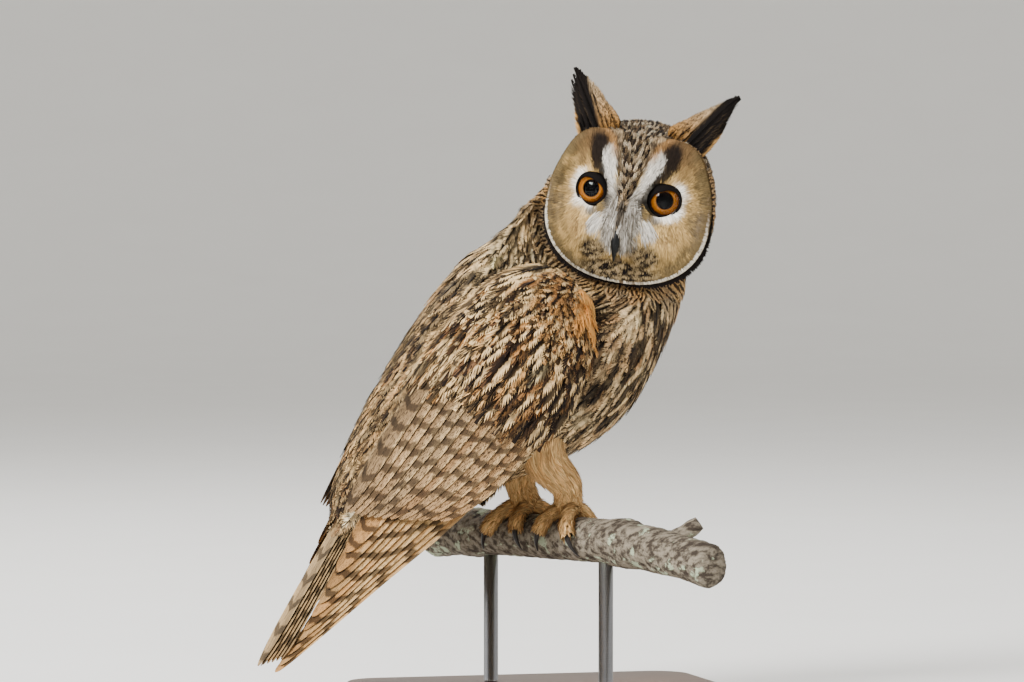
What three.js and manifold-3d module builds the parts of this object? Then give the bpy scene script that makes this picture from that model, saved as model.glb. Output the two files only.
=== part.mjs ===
// A long-eared owl, life size, standing on a cut length of branch that a plain stand holds up.
// Millimetres, +Z up. The owl's body faces +X and its head is turned over its right shoulder, towards -Y.
// The origin is the centre of the underside of the stand's base. The owl has a frame of its own: its origin
// is the top of the branch midway between the feet, and every size of the bird below is given in it.
import * as THREE from "three";
import Module from "manifold-3d";

const wasm = await Module();
wasm.setup();

// Driving dimensions of the stand and the branch.
const GAP = 0.3; // kept between neighbouring pieces
const PERCH_TOP = 113; // height of the owl's feet above the floor
const BASE = { length: 200, width: 160, thickness: 18, corner: 22, bevel: 2.5 };
const ROD = { radius: 4, reach: 46 };
const PERCH = { radius: 12, toFront: 128, toBack: 92, heading: -62, bark: 0.7 };
const STUB = { along: 88, sunk: 3, length: 26, rootRadius: 6.2, endRadius: 4 };

// The torso, from the neck inside the head to the root of the tail: the centre line, and half the depth
// and the width to each side of the section across it. The neck is fuller on the left, away from the face.
const TORSO = {
  x: [38, 36, 30, 24, 13, -3, -27, -52, -77, -99, -113],
  z: [184, 164, 144, 131, 115, 97, 77, 58, 39, 18, 0],
  depth: [36, 46, 52, 54, 58, 62, 58, 48, 35, 22, 12],
  right: [12, 16, 23, 35, 46, 51, 50, 45, 36, 27, 18],
  left: [24, 31, 38, 43, 48, 51, 50, 45, 36, 27, 18],
  neckEnd: 0.24, // where along the line the neck is parted from the torso
};

// The folded wing, from the shoulder to the tip: its middle line on the right side, half its breadth, the
// radius it wraps round the body with, and how far its outer face leans up towards the back, in degrees.
const WING = {
  x: [2, -12, -29, -47, -67, -91, -116, -140, -163],
  y: [43, 52, 57, 57, 53, 46, 37, 28, 19],
  z: [130, 115, 94, 71, 45, 15, -17, -48, -77],
  breadth: [15, 33, 41, 43, 41, 34, 25, 16, 7],
  wrap: [46, 50, 54, 58, 64, 76, 90, 110, 130],
  lean: [4, 8, 12, 15, 20, 30, 40, 48, 52],
  coreEnd: 0.56,
};

// The head, in its own frame: x forward, y to the owl's left, z up, from the middle of the head at the
// height of the eyes.
const HEAD = {
  place: [46.8, -14.3, 176.8],
  turn: -118, // degrees from the way the body faces, so over the right shoulder
  nod: 1,
  roll: 9.5,
  discHalfWidth: 45.5,
  discDrop: 9.5, // the middle of the facial disc lies this far under the eyes
  discAbove: 42, // how far the disc reaches above and below its middle
  discBelow: 38.5,
  faceDepth: 29,
  rimDepth: 14.5,
  back: 37,
  crown: 54, // above the middle of the disc
  chin: 39,
  side: 46.5,
};

// The space left free in front of the facial disc and round its rim, as shares of the disc's reach.
const FACE_CLEARANCE = { near: 8, nearShare: 1.1, far: 60, farShare: 1.97 };

// The eyes, and the lids round them. The upper lid closes a little, most towards the bill.
const EYE = {
  radius: 12.2, forward: 15, aside: 18.9, splay: 11,
  opening: 41.5, lid: 1.4, closed: 8, closedTowardsBill: 25,
};

// The ear tufts. The left one is laid flatter than the right one by twice the cock.
const TUFT = {
  aside: 27.5, above: 33.5, behind: -8, length: 36, splay: 33.2, cock: 1.5, lean: 9,
  feathers: 7, featherWidth: 9.5, halfWidth: 8, gather: 0.5, steps: 0.25, layer: 0.95, curl: 5,
};

// A vane of the solids: its thickness, how far it is rolled over the next one, and where along it its
// points lie.
const VANE = { thickness: 0.6, roll: 0.16, rows: [0, 0.35, 0.72, 0.94, 1] };

// Legs and feet.
const LEG = { stance: 17, ankle: 7.5, thigh: 15, ankleHeight: 9 };
const TOE = { radius: 4.6, clawRadius: 1.9 };

// The tail.
const TAIL = {
  pairs: 6, root: [-92, 0, 32], length: 132, lie: 57.4,
  featherWidth: 24, fan: 1.3, top: 4, step: 0.92, apart: 0.6, shorter: 1.6, droop: 3,
};

const vec = (x, y, z) => new THREE.Vector3(x, y, z);
const radians = THREE.MathUtils.degToRad;
const lerp = THREE.MathUtils.lerp;
const bell = (x, width) => Math.exp(-((x / width) ** 2));

// A smooth value along a list of numbers, at t from 0 to 1.
function smooth(list, t) {
  const place = t * (list.length - 1);
  const i = Math.max(0, Math.min(Math.floor(place), list.length - 2));
  const f = place - i;
  const at = (k) => list[Math.max(0, Math.min(k, list.length - 1))];
  const [a, b, c, d] = [at(i - 1), at(i), at(i + 1), at(i + 2)];
  return 0.5 * (2 * b + (c - a) * f + (2 * a - 5 * b + 4 * c - d) * f * f + (3 * b - a - 3 * c + d) * f ** 3);
}

// A closed solid from points and triangles, with its faces turned to point out.
function closed(points, faces) {
  const size = (sum, [a, b, c]) => sum + points[a].dot(vec(0, 0, 0).crossVectors(points[b], points[c]));
  const outward = faces.reduce(size, 0) > 0 ? faces : faces.map(([a, b, c]) => [a, c, b]);
  const vertProperties = new Float32Array(points.flatMap((p) => [p.x, p.y, p.z]));
  const triVerts = new Uint32Array(outward.flat());
  return new wasm.Manifold(new wasm.Mesh({ numProp: 3, vertProperties, triVerts }));
}

// A solid through rings of points that all have the same count, with a fan of triangles over each end.
function loft(rings) {
  const count = rings[0].length;
  const points = rings.flat();
  const faces = [];
  const middle = (ring) => ring.reduce((sum, p) => sum.add(p), vec(0, 0, 0)).divideScalar(ring.length);
  const first = points.push(middle(rings[0])) - 1;
  const last = points.push(middle(rings.at(-1))) - 1;
  const end = (rings.length - 1) * count;
  for (let j = 0; j < count; j++) {
    const next = (j + 1) % count;
    faces.push([first, next, j], [last, end + j, end + next]);
    for (let i = 0; i < rings.length - 1; i++) {
      const [a, b] = [i * count + j, i * count + next];
      faces.push([a, b, b + count], [a, b + count, a + count]);
    }
  }
  return closed(points, faces);
}

// A thin solid between two grids of points, cut into triangles alike on both faces.
function slab(upper, lower) {
  const rows = upper.length;
  const columns = upper[0].length;
  const points = [...upper.flat(), ...lower.flat()];
  const under = rows * columns;
  const faces = [];
  for (let i = 0; i < rows - 1; i++)
    for (let j = 0; j < columns - 1; j++) {
      const a = i * columns + j;
      const [b, c, d] = [a + 1, a + columns + 1, a + columns];
      for (const [p, q, r] of [[a, b, c], [a, c, d]]) {
        faces.push([p, q, r], [p + under, r + under, q + under]);
      }
    }
  const edge = [];
  for (let j = 0; j < columns - 1; j++) edge.push(j);
  for (let i = 0; i < rows - 1; i++) edge.push(i * columns + columns - 1);
  for (let j = columns - 1; j > 0; j--) edge.push((rows - 1) * columns + j);
  for (let i = rows - 1; i > 0; i--) edge.push(i * columns);
  edge.forEach((a, k) => {
    const b = edge[(k + 1) % edge.length];
    faces.push([b, a, a + under], [b, a + under, b + under]);
  });
  return closed(points, faces);
}

const joined = (solids) => wasm.Manifold.union(solids);

// The largest closed body of a solid, which drops the scraps that a cut leaves.
function largest(solid) {
  return solid.decompose().sort((a, b) => b.volume() - a.volume())[0];
}

// A three.js geometry as a solid.
function solidOf(geometry, matrix = new THREE.Matrix4()) {
  const bare = new THREE.BufferGeometry().setAttribute("position", geometry.attributes.position.clone());
  bare.applyMatrix4(matrix);
  const spots = new Map();
  const points = [];
  const place = bare.attributes.position;
  const find = (k) => {
    const p = vec(place.getX(k), place.getY(k), place.getZ(k));
    const key = [p.x, p.y, p.z].map((v) => Math.round(v * 1e3)).join();
    if (!spots.has(key)) spots.set(key, points.push(p) - 1);
    return spots.get(key);
  };
  const order = geometry.index ? [...geometry.index.array] : [...Array(place.count).keys()];
  const faces = [];
  for (let k = 0; k < order.length; k += 3) faces.push(order.slice(k, k + 3).map(find));
  return closed(points, faces.filter(([a, b, c]) => a !== b && b !== c && a !== c));
}

const sphere = (centre, radius, wide = 20, high = 14) =>
  solidOf(new THREE.SphereGeometry(radius, wide, high), new THREE.Matrix4().setPosition(centre));

// A ring of points round a centre, from two directions and their lengths.
function oval(centre, side, up, halfWide, halfHigh, count) {
  return Array.from({ length: count }, (_, k) => {
    const turn = (2 * Math.PI * k) / count;
    return centre
      .clone()
      .addScaledVector(side, halfWide * Math.cos(turn))
      .addScaledVector(up, halfHigh * Math.sin(turn));
  });
}

// A round bar along a curve, with its radius by the share of the length.
function bar(curve, radiusAt, steps, count) {
  const frames = curve.computeFrenetFrames(steps, false);
  const rings = Array.from({ length: steps + 1 }, (_, i) => {
    const radius = radiusAt(i / steps);
    return oval(curve.getPointAt(i / steps), frames.normals[i], frames.binormals[i], radius, radius, count);
  });
  return loft(rings);
}

// One feather, as a thin tapered vane. spot(along, across) gives a point of its outer face and the way out
// of that face, for along from 0 to 1 and across in millimetres from the shaft. grow makes it fatter.
function feather(spot, width, rows, grow = 0) {
  const swell = (s) => 0.55 + 0.45 * Math.min(1, s / 0.35);
  const tip = (s) => Math.sqrt(Math.max(0.02, 1 - Math.max(0, (s - 0.5) / 0.5) ** 2.6));
  const upper = [];
  const lower = [];
  for (const s of rows) {
    const edges = [-1, 1].map((side) => spot(s, side * ((width / 2) * swell(s) * tip(s) + grow)));
    upper.push(edges.map(({ point, out }) => point.clone().addScaledVector(out, grow)));
    lower.push(edges.map(({ point, out }) => point.clone().addScaledVector(out, -VANE.thickness - grow)));
  }
  return slab(upper, lower);
}

// Where the torso's skin is, with along from 0 at the neck to 1 at the tail and turn in radians from the
// middle of the back towards the right side. grow moves it out.
function torsoSpot(along, turn, grow = 0) {
  const at = (list) => smooth(list, along);
  const step = 0.01;
  const way = vec(smooth(TORSO.x, along + step) - smooth(TORSO.x, along - step), 0,
    smooth(TORSO.z, along + step) - smooth(TORSO.z, along - step)).normalize();
  const dorsal = vec(way.z, 0, -way.x);
  const halfWidth = at(Math.sin(turn) > 0 ? TORSO.right : TORSO.left);
  return vec(at(TORSO.x), 0, at(TORSO.z))
    .addScaledVector(dorsal, (at(TORSO.depth) + grow) * Math.cos(turn))
    .addScaledVector(vec(0, -1, 0), (halfWidth + grow) * Math.sin(turn));
}

function torsoForm(grow) {
  const [rings, sides] = [16, 22];
  return loft(Array.from({ length: rings + 1 }, (_, i) =>
    Array.from({ length: sides }, (_, j) => torsoSpot(i / rings, (2 * Math.PI * j) / sides, grow))));
}

// Where the folded wing's outer face is: along from the shoulder to the tip, across from -1 at the back to
// 1 at the leading edge, and lift in millimetres. side is -1 for the right wing and 1 for the left.
function wingSpot(side, along, across, lift) {
  const middle = (t) => vec(smooth(WING.x, t), side * smooth(WING.y, t), smooth(WING.z, t));
  const way = middle(Math.min(along + 0.01, 1)).sub(middle(Math.max(along - 0.01, 0))).normalize();
  const lean = radians(smooth(WING.lean, along));
  const back = vec(way.z, 0, -way.x).normalize();
  const out = vec(0, side, 0).multiplyScalar(Math.cos(lean)).addScaledVector(back, Math.sin(lean));
  out.addScaledVector(way, -out.dot(way)).normalize();
  const forward = vec(0, 0, 0).crossVectors(way, out).multiplyScalar(side);
  const wrap = smooth(WING.wrap, along);
  const turn = (across * smooth(WING.breadth, along)) / wrap;
  const normal = out.clone().multiplyScalar(Math.cos(turn)).addScaledVector(forward, Math.sin(turn));
  const point = middle(along).addScaledVector(out, -wrap).addScaledVector(normal, wrap + lift);
  return { point, out: normal };
}

// A feather that lies on the folded wing, from one place to another, rolled so that its edge nearer the
// leading edge of the wing lies over the next one.
function wingFeather(side, { from, to, width, lift }) {
  const spot = (s, aside) => {
    const along = lerp(from[0], to[0], s);
    const across = lerp(from[1], to[1], s) + aside / smooth(WING.breadth, along);
    return wingSpot(side, along, across, lerp(lift[0], lift[1], s) + aside * VANE.roll);
  };
  return feather(spot, width, VANE.rows);
}

// A tier of feathers across the wing: a list of count feathers with each size given by the share across.
function tier(count, sizes) {
  return Array.from({ length: count }, (_, k) => sizes(k / (count - 1), k));
}

function wingForm(side) {
  const [rows, columns] = [8, 8];
  const face = (lift) =>
    Array.from({ length: rows }, (_, i) =>
      Array.from({ length: columns }, (_, j) => {
        const along = (WING.coreEnd * i) / (rows - 1);
        const across = lerp(-0.95, 0.95, j / (columns - 1));
        return wingSpot(side, along, across, lift(along / WING.coreEnd) - 0.7 * across ** 4).point;
      }));
  const core = slab(face((t) => lerp(1, -1.4, t ** 2)), face((t) => lerp(-15, -6, t ** 2)));
  const primaries = tier(8, (s, k) => ({
    from: [0.47, lerp(-0.2, 0.8, s)],
    to: [lerp(0.76, 1, s ** 0.85), lerp(-0.25, 0.5, s)],
    width: lerp(16, 12, s),
    lift: [-0.9 - 0.5 * k, 1.4 - 1.05 * k],
  }));
  const secondaries = tier(7, (s) => ({
    from: [0.31, lerp(-0.78, 0.7, s)],
    to: [lerp(0.71, 0.62, s ** 1.5), lerp(-0.7, 0.62, s)],
    width: 17,
    lift: [-0.6, lerp(5.6, 2.6, s)],
  }));
  const greaterCoverts = tier(6, (s) => ({
    from: [0.19, lerp(-0.45, 0.8, s)],
    to: [lerp(0.41, 0.37, s), lerp(-0.48, 0.82, s)],
    width: 17,
    lift: [-0.6, 3.8],
  }));
  const middleCoverts = tier(5, (s) => ({
    from: [0.09, lerp(-0.42, 0.72, s)],
    to: [lerp(0.26, 0.23, s), lerp(-0.42, 0.8, s)],
    width: 17,
    lift: [-0.6, 3.4],
  }));
  const scapulars = [[0.02, 0.25], [0.15, 0.46]].flatMap(([root, tip]) => tier(2, (s) => ({
    from: [root, lerp(-0.85, -0.5, s)],
    to: [tip - 0.02 * s, lerp(-0.98, -0.62, s)],
    width: 20,
    lift: [-0.6, 4.8],
  })));
  const feathers = [...primaries, ...secondaries, ...greaterCoverts, ...middleCoverts, ...scapulars];
  return joined([core, ...feathers.map((f) => wingFeather(side, f))]);
}

// The tail: a flat root that runs out of the rump, and pairs of feathers fanned from the middle one.
const tailWay = vec(-Math.cos(radians(TAIL.lie)), 0, -Math.sin(radians(TAIL.lie)));
const tailOut = vec(tailWay.z, 0, -tailWay.x);
function tailForm(grow = 0) {
  const root = vec(...TAIL.root);
  const rump = [[0, 22, 15], [0.2, 21, 12], [0.38, 18, 6], [0.5, 16, 2], [0.56, 14, 0.7]];
  const rings = rump.map(([s, wide, deep]) => {
    const middle = root.clone().addScaledVector(tailWay, s * TAIL.length);
    return oval(middle, vec(0, 1, 0), tailOut, wide + grow, deep + grow, 12);
  });
  const feathers = [];
  for (let k = 0; k < TAIL.pairs; k++)
    for (const side of [-1, 1]) {
      const swing = radians(side * (k + 0.5) * TAIL.fan);
      const length = TAIL.length - TAIL.shorter * k;
      const layer = TAIL.top - TAIL.step * (2 * k + (side > 0 ? 1 : 0));
      const spot = (s, aside) => ({
        point: root
          .clone()
          .addScaledVector(tailWay, s * length * Math.cos(swing))
          .addScaledVector(vec(0, 1, 0), s * length * Math.sin(swing) + side * k * TAIL.apart + aside)
          .addScaledVector(tailOut, layer - TAIL.droop * s * s),
        out: tailOut,
      });
      feathers.push(feather(spot, TAIL.featherWidth, VANE.rows, grow));
    }
  return joined([loft(rings), ...feathers]);
}

// The head's turn and place, from its own frame to the owl's.
function headPose() {
  const level = new THREE.Matrix4().makeRotationZ(radians(HEAD.turn));
  const nod = new THREE.Matrix4().makeRotationY(radians(HEAD.nod));
  const roll = new THREE.Matrix4().makeRotationX(radians(-HEAD.roll));
  return new THREE.Matrix4().setPosition(...HEAD.place).multiply(level).multiply(nod).multiply(roll);
}

// How far a rounded square reaches from its middle at an angle: an ellipse has the power 2.
function squircle(angle, halfWidth, halfHeight, power) {
  const wide = Math.abs(Math.cos(angle) / halfWidth) ** power;
  const high = Math.abs(Math.sin(angle) / halfHeight) ** power;
  return (wide + high) ** (-1 / power);
}

// How far the facial disc reaches from its middle, at an angle from the owl's left towards the crown.
function discReach(angle) {
  const halfHeight = Math.sin(angle) > 0 ? HEAD.discAbove : HEAD.discBelow;
  const lobe = [52, 128].reduce((sum, at) => sum + bell(angle - radians(at), radians(17)), 0);
  return squircle(angle, HEAD.discHalfWidth, halfHeight, 2.3) + 4.5 * lobe;
}

// How far the face stands forward at a place aside from and above the middle of the disc. share is the
// part of the way from the middle to the rim.
function faceForward(aside, above, share, angle) {
  const overEyes = above - HEAD.discDrop;
  const dome = HEAD.faceDepth - (HEAD.faceDepth - HEAD.rimDepth) * share ** 2.1;
  const upward = THREE.MathUtils.smoothstep(overEyes, 0, 36);
  const forehead = 4.6 * bell(aside, lerp(6.5, 17, upward)) * THREE.MathUtils.smoothstep(overEyes, -12, 4);
  const bristles = 10.5 * bell(aside, 9.5) * bell(overEyes + 17, 14);
  const dish = -3 * bell(Math.abs(aside) - 25, 12) * bell(overEyes + 1, 16);
  const socket = 2.2 * bell(Math.hypot(Math.abs(aside) - EYE.aside, overEyes) - 9, 4);
  const open = 1 - bell(angle - Math.PI / 2, radians(26));
  const rim = 2.8 * bell(share - 0.95, 0.06) * open;
  return dome + forehead + bristles + dish + socket + rim;
}

function headForm() {
  const [front, behind, sides] = [9, 6, 34];
  const rings = [];
  for (let i = 1; i <= front + behind; i++)
    rings.push(Array.from({ length: sides }, (_, j) => {
      const angle = (2 * Math.PI * j) / sides + 1e-6;
      const angleUp = angle > 1.5 * Math.PI ? angle - 2 * Math.PI : angle;
      if (i <= front) {
        const share = i / front;
        const reach = share * discReach(angleUp);
        const [aside, above] = [reach * Math.cos(angleUp), reach * Math.sin(angleUp)];
        return vec(faceForward(aside, above, share, angleUp), aside, above - HEAD.discDrop);
      }
      const turn = ((i - front) / (behind + 0.35)) * (Math.PI / 2);
      const high = Math.sin(angleUp) > 0 ? HEAD.crown : HEAD.chin;
      const skull = squircle(angleUp, HEAD.side, high, 2.2);
      const reach = lerp(discReach(angleUp), skull, Math.min(1, turn / 0.5)) * Math.cos(turn) ** 0.62;
      const forward = HEAD.rimDepth - (HEAD.rimDepth + HEAD.back) * Math.sin(turn);
      return vec(forward, reach * Math.cos(angleUp), reach * Math.sin(angleUp) - HEAD.discDrop);
    }));
  return loft(rings);
}

// The space in front of the facial disc and round its rim, in the head's frame.
function faceClearance() {
  const sides = 24;
  const { near, nearShare, far, farShare } = FACE_CLEARANCE;
  return loft([[near, nearShare], [far, farShare]].map(([forward, share]) =>
    Array.from({ length: sides }, (_, j) => {
      const angle = (2 * Math.PI * j) / sides - Math.PI / 2;
      const reach = share * discReach(angle);
      return vec(forward, reach * Math.cos(angle), reach * Math.sin(angle) - HEAD.discDrop);
    })));
}

// The eye's centre and the way it looks.
function eyeFrame(side) {
  const splay = radians(EYE.splay) * side;
  const ahead = vec(Math.cos(splay), Math.sin(splay), 0);
  const aside = vec(-Math.sin(splay), Math.cos(splay), 0);
  return { centre: vec(EYE.forward, side * EYE.aside, 0), ahead, aside };
}

// The lids: a ring of skin round the opening, which the upper lid closes a little.
function lidForm(side) {
  const { centre, ahead, aside } = eyeFrame(side);
  const [around, sides] = [16, 6];
  const rings = Array.from({ length: around }, (_, k) => {
    const turn = (2 * Math.PI * k) / around;
    const upperShare = Math.max(0, Math.cos(turn - radians(90 + side * EYE.closedTowardsBill)));
    const half = radians(EYE.opening - EYE.closed * upperShare ** 2);
    const outward = aside.clone().multiplyScalar(Math.cos(turn)).add(vec(0, 0, Math.sin(turn)));
    const way = ahead.clone().multiplyScalar(Math.cos(half)).addScaledVector(outward, Math.sin(half));
    const across = ahead.clone().multiplyScalar(-Math.sin(half)).addScaledVector(outward, Math.cos(half));
    const thick = EYE.lid * (1 + 0.35 * upperShare);
    const middle = centre.clone().addScaledVector(way, EYE.radius + 0.5).addScaledVector(across, 1.2);
    return oval(middle, across, way, 1.6 * thick, thick, sides);
  });
  const points = rings.flat();
  const faces = [];
  for (let i = 0; i < around; i++)
    for (let j = 0; j < sides; j++) {
      const at = (a, b) => (a % around) * sides + (b % sides);
      faces.push([at(i, j), at(i, j + 1), at(i + 1, j + 1)], [at(i, j), at(i + 1, j + 1), at(i + 1, j)]);
    }
  return closed(points, faces);
}

// The round opening in the face in front of an eye.
function openingForm(side) {
  const { centre, ahead } = eyeFrame(side);
  const [near, far] = [4, 24];
  const half = radians(EYE.opening);
  const inner = EYE.radius * Math.sin(half) + 0.8;
  const cone = new THREE.CylinderGeometry(inner + 3, inner, far - near, 16);
  const turn = new THREE.Quaternion().setFromUnitVectors(vec(0, 1, 0), ahead);
  const middle = centre.clone().addScaledVector(ahead, (near + far) / 2);
  return solidOf(cone, new THREE.Matrix4().compose(middle, turn, vec(1, 1, 1)));
}

// The bill: two hooked halves with the line of the mouth between them.
function billForm({ path, wide, deep }, grow = 0) {
  const curve = new THREE.CatmullRomCurve3(path.map(([x, z]) => vec(x, 0, z)));
  const steps = 8;
  const rings = Array.from({ length: steps + 1 }, (_, i) => {
    const s = i / steps;
    const way = curve.getTangentAt(s);
    const up = vec(way.z, 0, -way.x);
    return oval(curve.getPointAt(s), vec(0, 1, 0), up, smooth(wide, s) + grow, smooth(deep, s) + grow, 10);
  });
  return loft(rings);
}
const UPPER_BILL = {
  path: [[20, -12], [28.5, -15], [34.6, -20.5], [37, -28], [34.8, -36.5]],
  wide: [5.6, 5.6, 4.6, 3, 0.5],
  deep: [7, 6.4, 4.8, 3, 0.5],
};
const LOWER_BILL = {
  path: [[18, -21.5], [25.5, -23.5], [30.4, -27.8], [32, -31.5]],
  wide: [4.6, 4.3, 3.2, 1.2],
  deep: [3.8, 3.4, 2.6, 1],
};

// An ear tuft: overlapping feathers on a small root that draw together to a point, face to the front.
function tuftForm(side) {
  const splay = radians(TUFT.splay + side * TUFT.cock);
  const lean = radians(TUFT.lean);
  const way = vec(-Math.sin(lean), side * Math.sin(splay) * Math.cos(lean), Math.cos(splay) * Math.cos(lean));
  const front = vec(1, 0, 0).addScaledVector(way, -way.x).normalize();
  const outer = vec(0, 0, 0).crossVectors(way, front).multiplyScalar(side);
  const root = vec(-TUFT.behind, side * TUFT.aside, TUFT.above);
  const rings = [[-10, 5, 3], [-4, 9, 4.4], [2, 9.5, 4], [7, 7.4, 3.2], [11, 4, 1.6]].map(([s, wide, deep]) =>
    oval(root.clone().addScaledVector(way, s), outer, front, wide, deep, 8));
  const feathers = tier(TUFT.feathers, (s, k) => {
    const aside = lerp(1, -1, s);
    const length = TUFT.length * (1 - TUFT.steps * Math.abs(aside) ** 1.2);
    const layer = TUFT.layer * ((TUFT.feathers - 1) / 2 - k);
    const spot = (t, off) => ({
      point: root
        .clone()
        .addScaledVector(outer, TUFT.halfWidth * aside * (1 - TUFT.gather * t ** 2) + off)
        .addScaledVector(way, t * length)
        .addScaledVector(front, layer * (1 - 0.25 * t) - TUFT.curl * t * t),
      out: front,
    });
    return feather(spot, TUFT.featherWidth, VANE.rows);
  });
  return joined([loft(rings), ...feathers]);
}

// The branch, with bark that swells and shrinks along it and a stub where a twig was cut off.
const perchWay = vec(Math.cos(radians(PERCH.heading)), Math.sin(radians(PERCH.heading)), 0);
const perchAside = vec(-perchWay.y, perchWay.x, 0);
const perchAt = (along) => vec(0, 0, -PERCH.radius).addScaledVector(perchWay, along);
function perchForm(grow = 0) {
  const [steps, sides] = [16, 12];
  const length = PERCH.toFront + PERCH.toBack;
  const rings = Array.from({ length: steps + 1 }, (_, i) => {
    const along = -PERCH.toBack + (length * i) / steps;
    const away = Math.max(0, Math.abs(along) - 34);
    const rise = perchAt(along).addScaledVector(vec(0, 0, 1), -0.0011 * away * away);
    return Array.from({ length: sides }, (_, j) => {
      const turn = (2 * Math.PI * j) / sides;
      const swell = Math.sin(3 * turn + along / 9) * Math.sin(along / 13 + turn);
      const bark = PERCH.bark * swell * Math.min(1, away / 12);
      const knot = 2.2 * bell(along - 62, 9) * bell(Math.cos(turn) - 0.4, 0.7) + 1.6 * bell(along + 58, 8);
      const radius = PERCH.radius + grow + bark + knot - 0.008 * Math.max(0, along - 40);
      const outward = perchAside.clone().multiplyScalar(Math.cos(turn)).add(vec(0, 0, Math.sin(turn)));
      return rise.clone().addScaledVector(outward, radius);
    });
  });
  const stubAt = perchAt(STUB.along).add(vec(0, 0, -STUB.sunk));
  const stubWay = perchWay.clone().multiplyScalar(0.6).addScaledVector(perchAside, 0.55).add(vec(0, 0, 0.58));
  const stubLine = new THREE.LineCurve3(stubAt, stubAt.clone().addScaledVector(stubWay, STUB.length));
  const stub = bar(stubLine, (s) => lerp(STUB.rootRadius, STUB.endRadius, s) + grow, 3, 10);
  return joined([loft(rings), stub]);
}

// A leg: feathered from the thigh down to the ankle.
function legForm(side) {
  const foot = footPlace(side);
  const path = new THREE.CatmullRomCurve3([
    vec(-10, side * 23, 46),
    vec(-8, side * 22.5, 32),
    vec(foot.x - 3, lerp(side * 22, foot.y, 0.55), 18),
    vec(foot.x - 0.5, foot.y, LEG.ankleHeight - 1),
  ]);
  return bar(path, (s) => lerp(LEG.thigh, LEG.ankle, Math.min(1, s * 1.25)), 7, 14);
}

// The middle of a foot, on top of the branch. side is -1 for the right foot.
function footPlace(side) {
  return perchWay.clone().multiplyScalar(-side * LEG.stance).add(vec(0, 0, TOE.radius));
}

// The toes: how far each one's root sits along the branch, how far it wanders along it, which way round
// the branch it goes, and how far it reaches, in degrees from the top.
const TOES = [
  { name: "inner", root: -3.5, wander: -7, way: 1, reach: 88 },
  { name: "middle", root: 1.5, wander: 3, way: 1, reach: 98 },
  { name: "outer", root: 4, wander: 11, way: -1, reach: 78 },
  { name: "hind", root: -2.5, wander: -5, way: -1, reach: 72 },
];

// A point round the branch at an angle from its top, at a distance from its axis.
function roundPerch(side, toe, angle, distance) {
  const share = angle / toe.reach;
  const along = -side * LEG.stance + side * -(toe.root + toe.wander * share);
  const turn = radians(angle) * toe.way;
  return perchAt(along)
    .addScaledVector(perchAside, distance * Math.sin(turn))
    .addScaledVector(vec(0, 0, 1), distance * Math.cos(turn));
}

function toePath(side, toe, from, to, distance) {
  const steps = 6;
  const points = Array.from({ length: steps + 1 }, (_, k) => {
    const angle = lerp(from, to, k / steps);
    return roundPerch(side, toe, angle, distance(k / steps));
  });
  return new THREE.CatmullRomCurve3(points);
}

function footForm(side, grow = 0) {
  const hub = footPlace(side).add(vec(0, 0, 1.2));
  const pad = solidOf(new THREE.SphereGeometry(1, 12, 8), new THREE.Matrix4()
    .makeRotationZ(radians(PERCH.heading))
    .scale(vec(9 + grow, 8 + grow, 6.4 + grow))
    .setPosition(hub));
  const toes = TOES.map((toe) => {
    const path = toePath(side, toe, 0, toe.reach, () => PERCH.radius + TOE.radius * 0.86);
    return bar(path, (s) => TOE.radius * (1 - 0.22 * s + 0.07 * Math.sin(9 * s)) + grow, 5, 8);
  });
  return joined([pad, ...toes]);
}

function clawForm(side, toe) {
  const distance = PERCH.radius + TOE.radius * 0.86;
  const start = toe.reach - 12;
  const path = toePath(side, toe, start, start + 58, (s) => distance + 0.8 - 1.9 * s + 0.6 * Math.sin(3 * s));
  return bar(path, (s) => lerp(TOE.clawRadius, 0.35, s ** 1.4), 6, 6);
}

// The stand: a base plate with rounded corners, and two rods up to the branch.
function baseForm() {
  const [x, y, r] = [BASE.length / 2 - BASE.bevel, BASE.width / 2 - BASE.bevel, BASE.corner];
  const outline = new THREE.Shape();
  outline.moveTo(x - r, -y);
  outline.absarc(x - r, -y + r, r, -Math.PI / 2, 0);
  outline.absarc(x - r, y - r, r, 0, Math.PI / 2);
  outline.absarc(-x + r, y - r, r, Math.PI / 2, Math.PI);
  outline.absarc(-x + r, -y + r, r, Math.PI, 1.5 * Math.PI);
  return new THREE.ExtrudeGeometry(outline, {
    depth: BASE.thickness - 2 * BASE.bevel,
    bevelSize: BASE.bevel,
    bevelThickness: BASE.bevel,
    bevelSegments: 2,
    curveSegments: 4,
  }).translate(0, 0, BASE.bevel);
}

function rodForm(along, perch) {
  const foot = perchAt(along);
  const bottom = BASE.thickness + GAP - PERCH_TOP;
  const height = -PERCH.radius - bottom;
  const rod = new THREE.CylinderGeometry(ROD.radius, ROD.radius, height, 20).rotateX(Math.PI / 2);
  const place = new THREE.Matrix4().setPosition(foot.x, foot.y, bottom + height / 2);
  return largest(solidOf(rod, place).subtract(perch));
}

// Materials by what each piece is made of.
const material = (color, roughness, metalness = 0) =>
  new THREE.MeshStandardMaterial({ color, roughness, metalness });
const FINISH = {
  mottled: material(0x6f5538, 0.9),
  barred: material(0x7d6040, 0.85),
  streaked: material(0xb39b74, 0.9),
  face: material(0xb08d5c, 0.9),
  tuft: material(0x2c2119, 0.9),
  buff: material(0xc3a474, 0.9),
  bill: material(0x1e1c1b, 0.45),
  claw: material(0x171514, 0.4),
  eye: material(0xc8701c, 0.15),
  bark: material(0x5d5447, 0.95),
  base: material(0x3b2417, 0.5),
  rod: material(0x8f8f8f, 0.35, 0.9),
};

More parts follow.
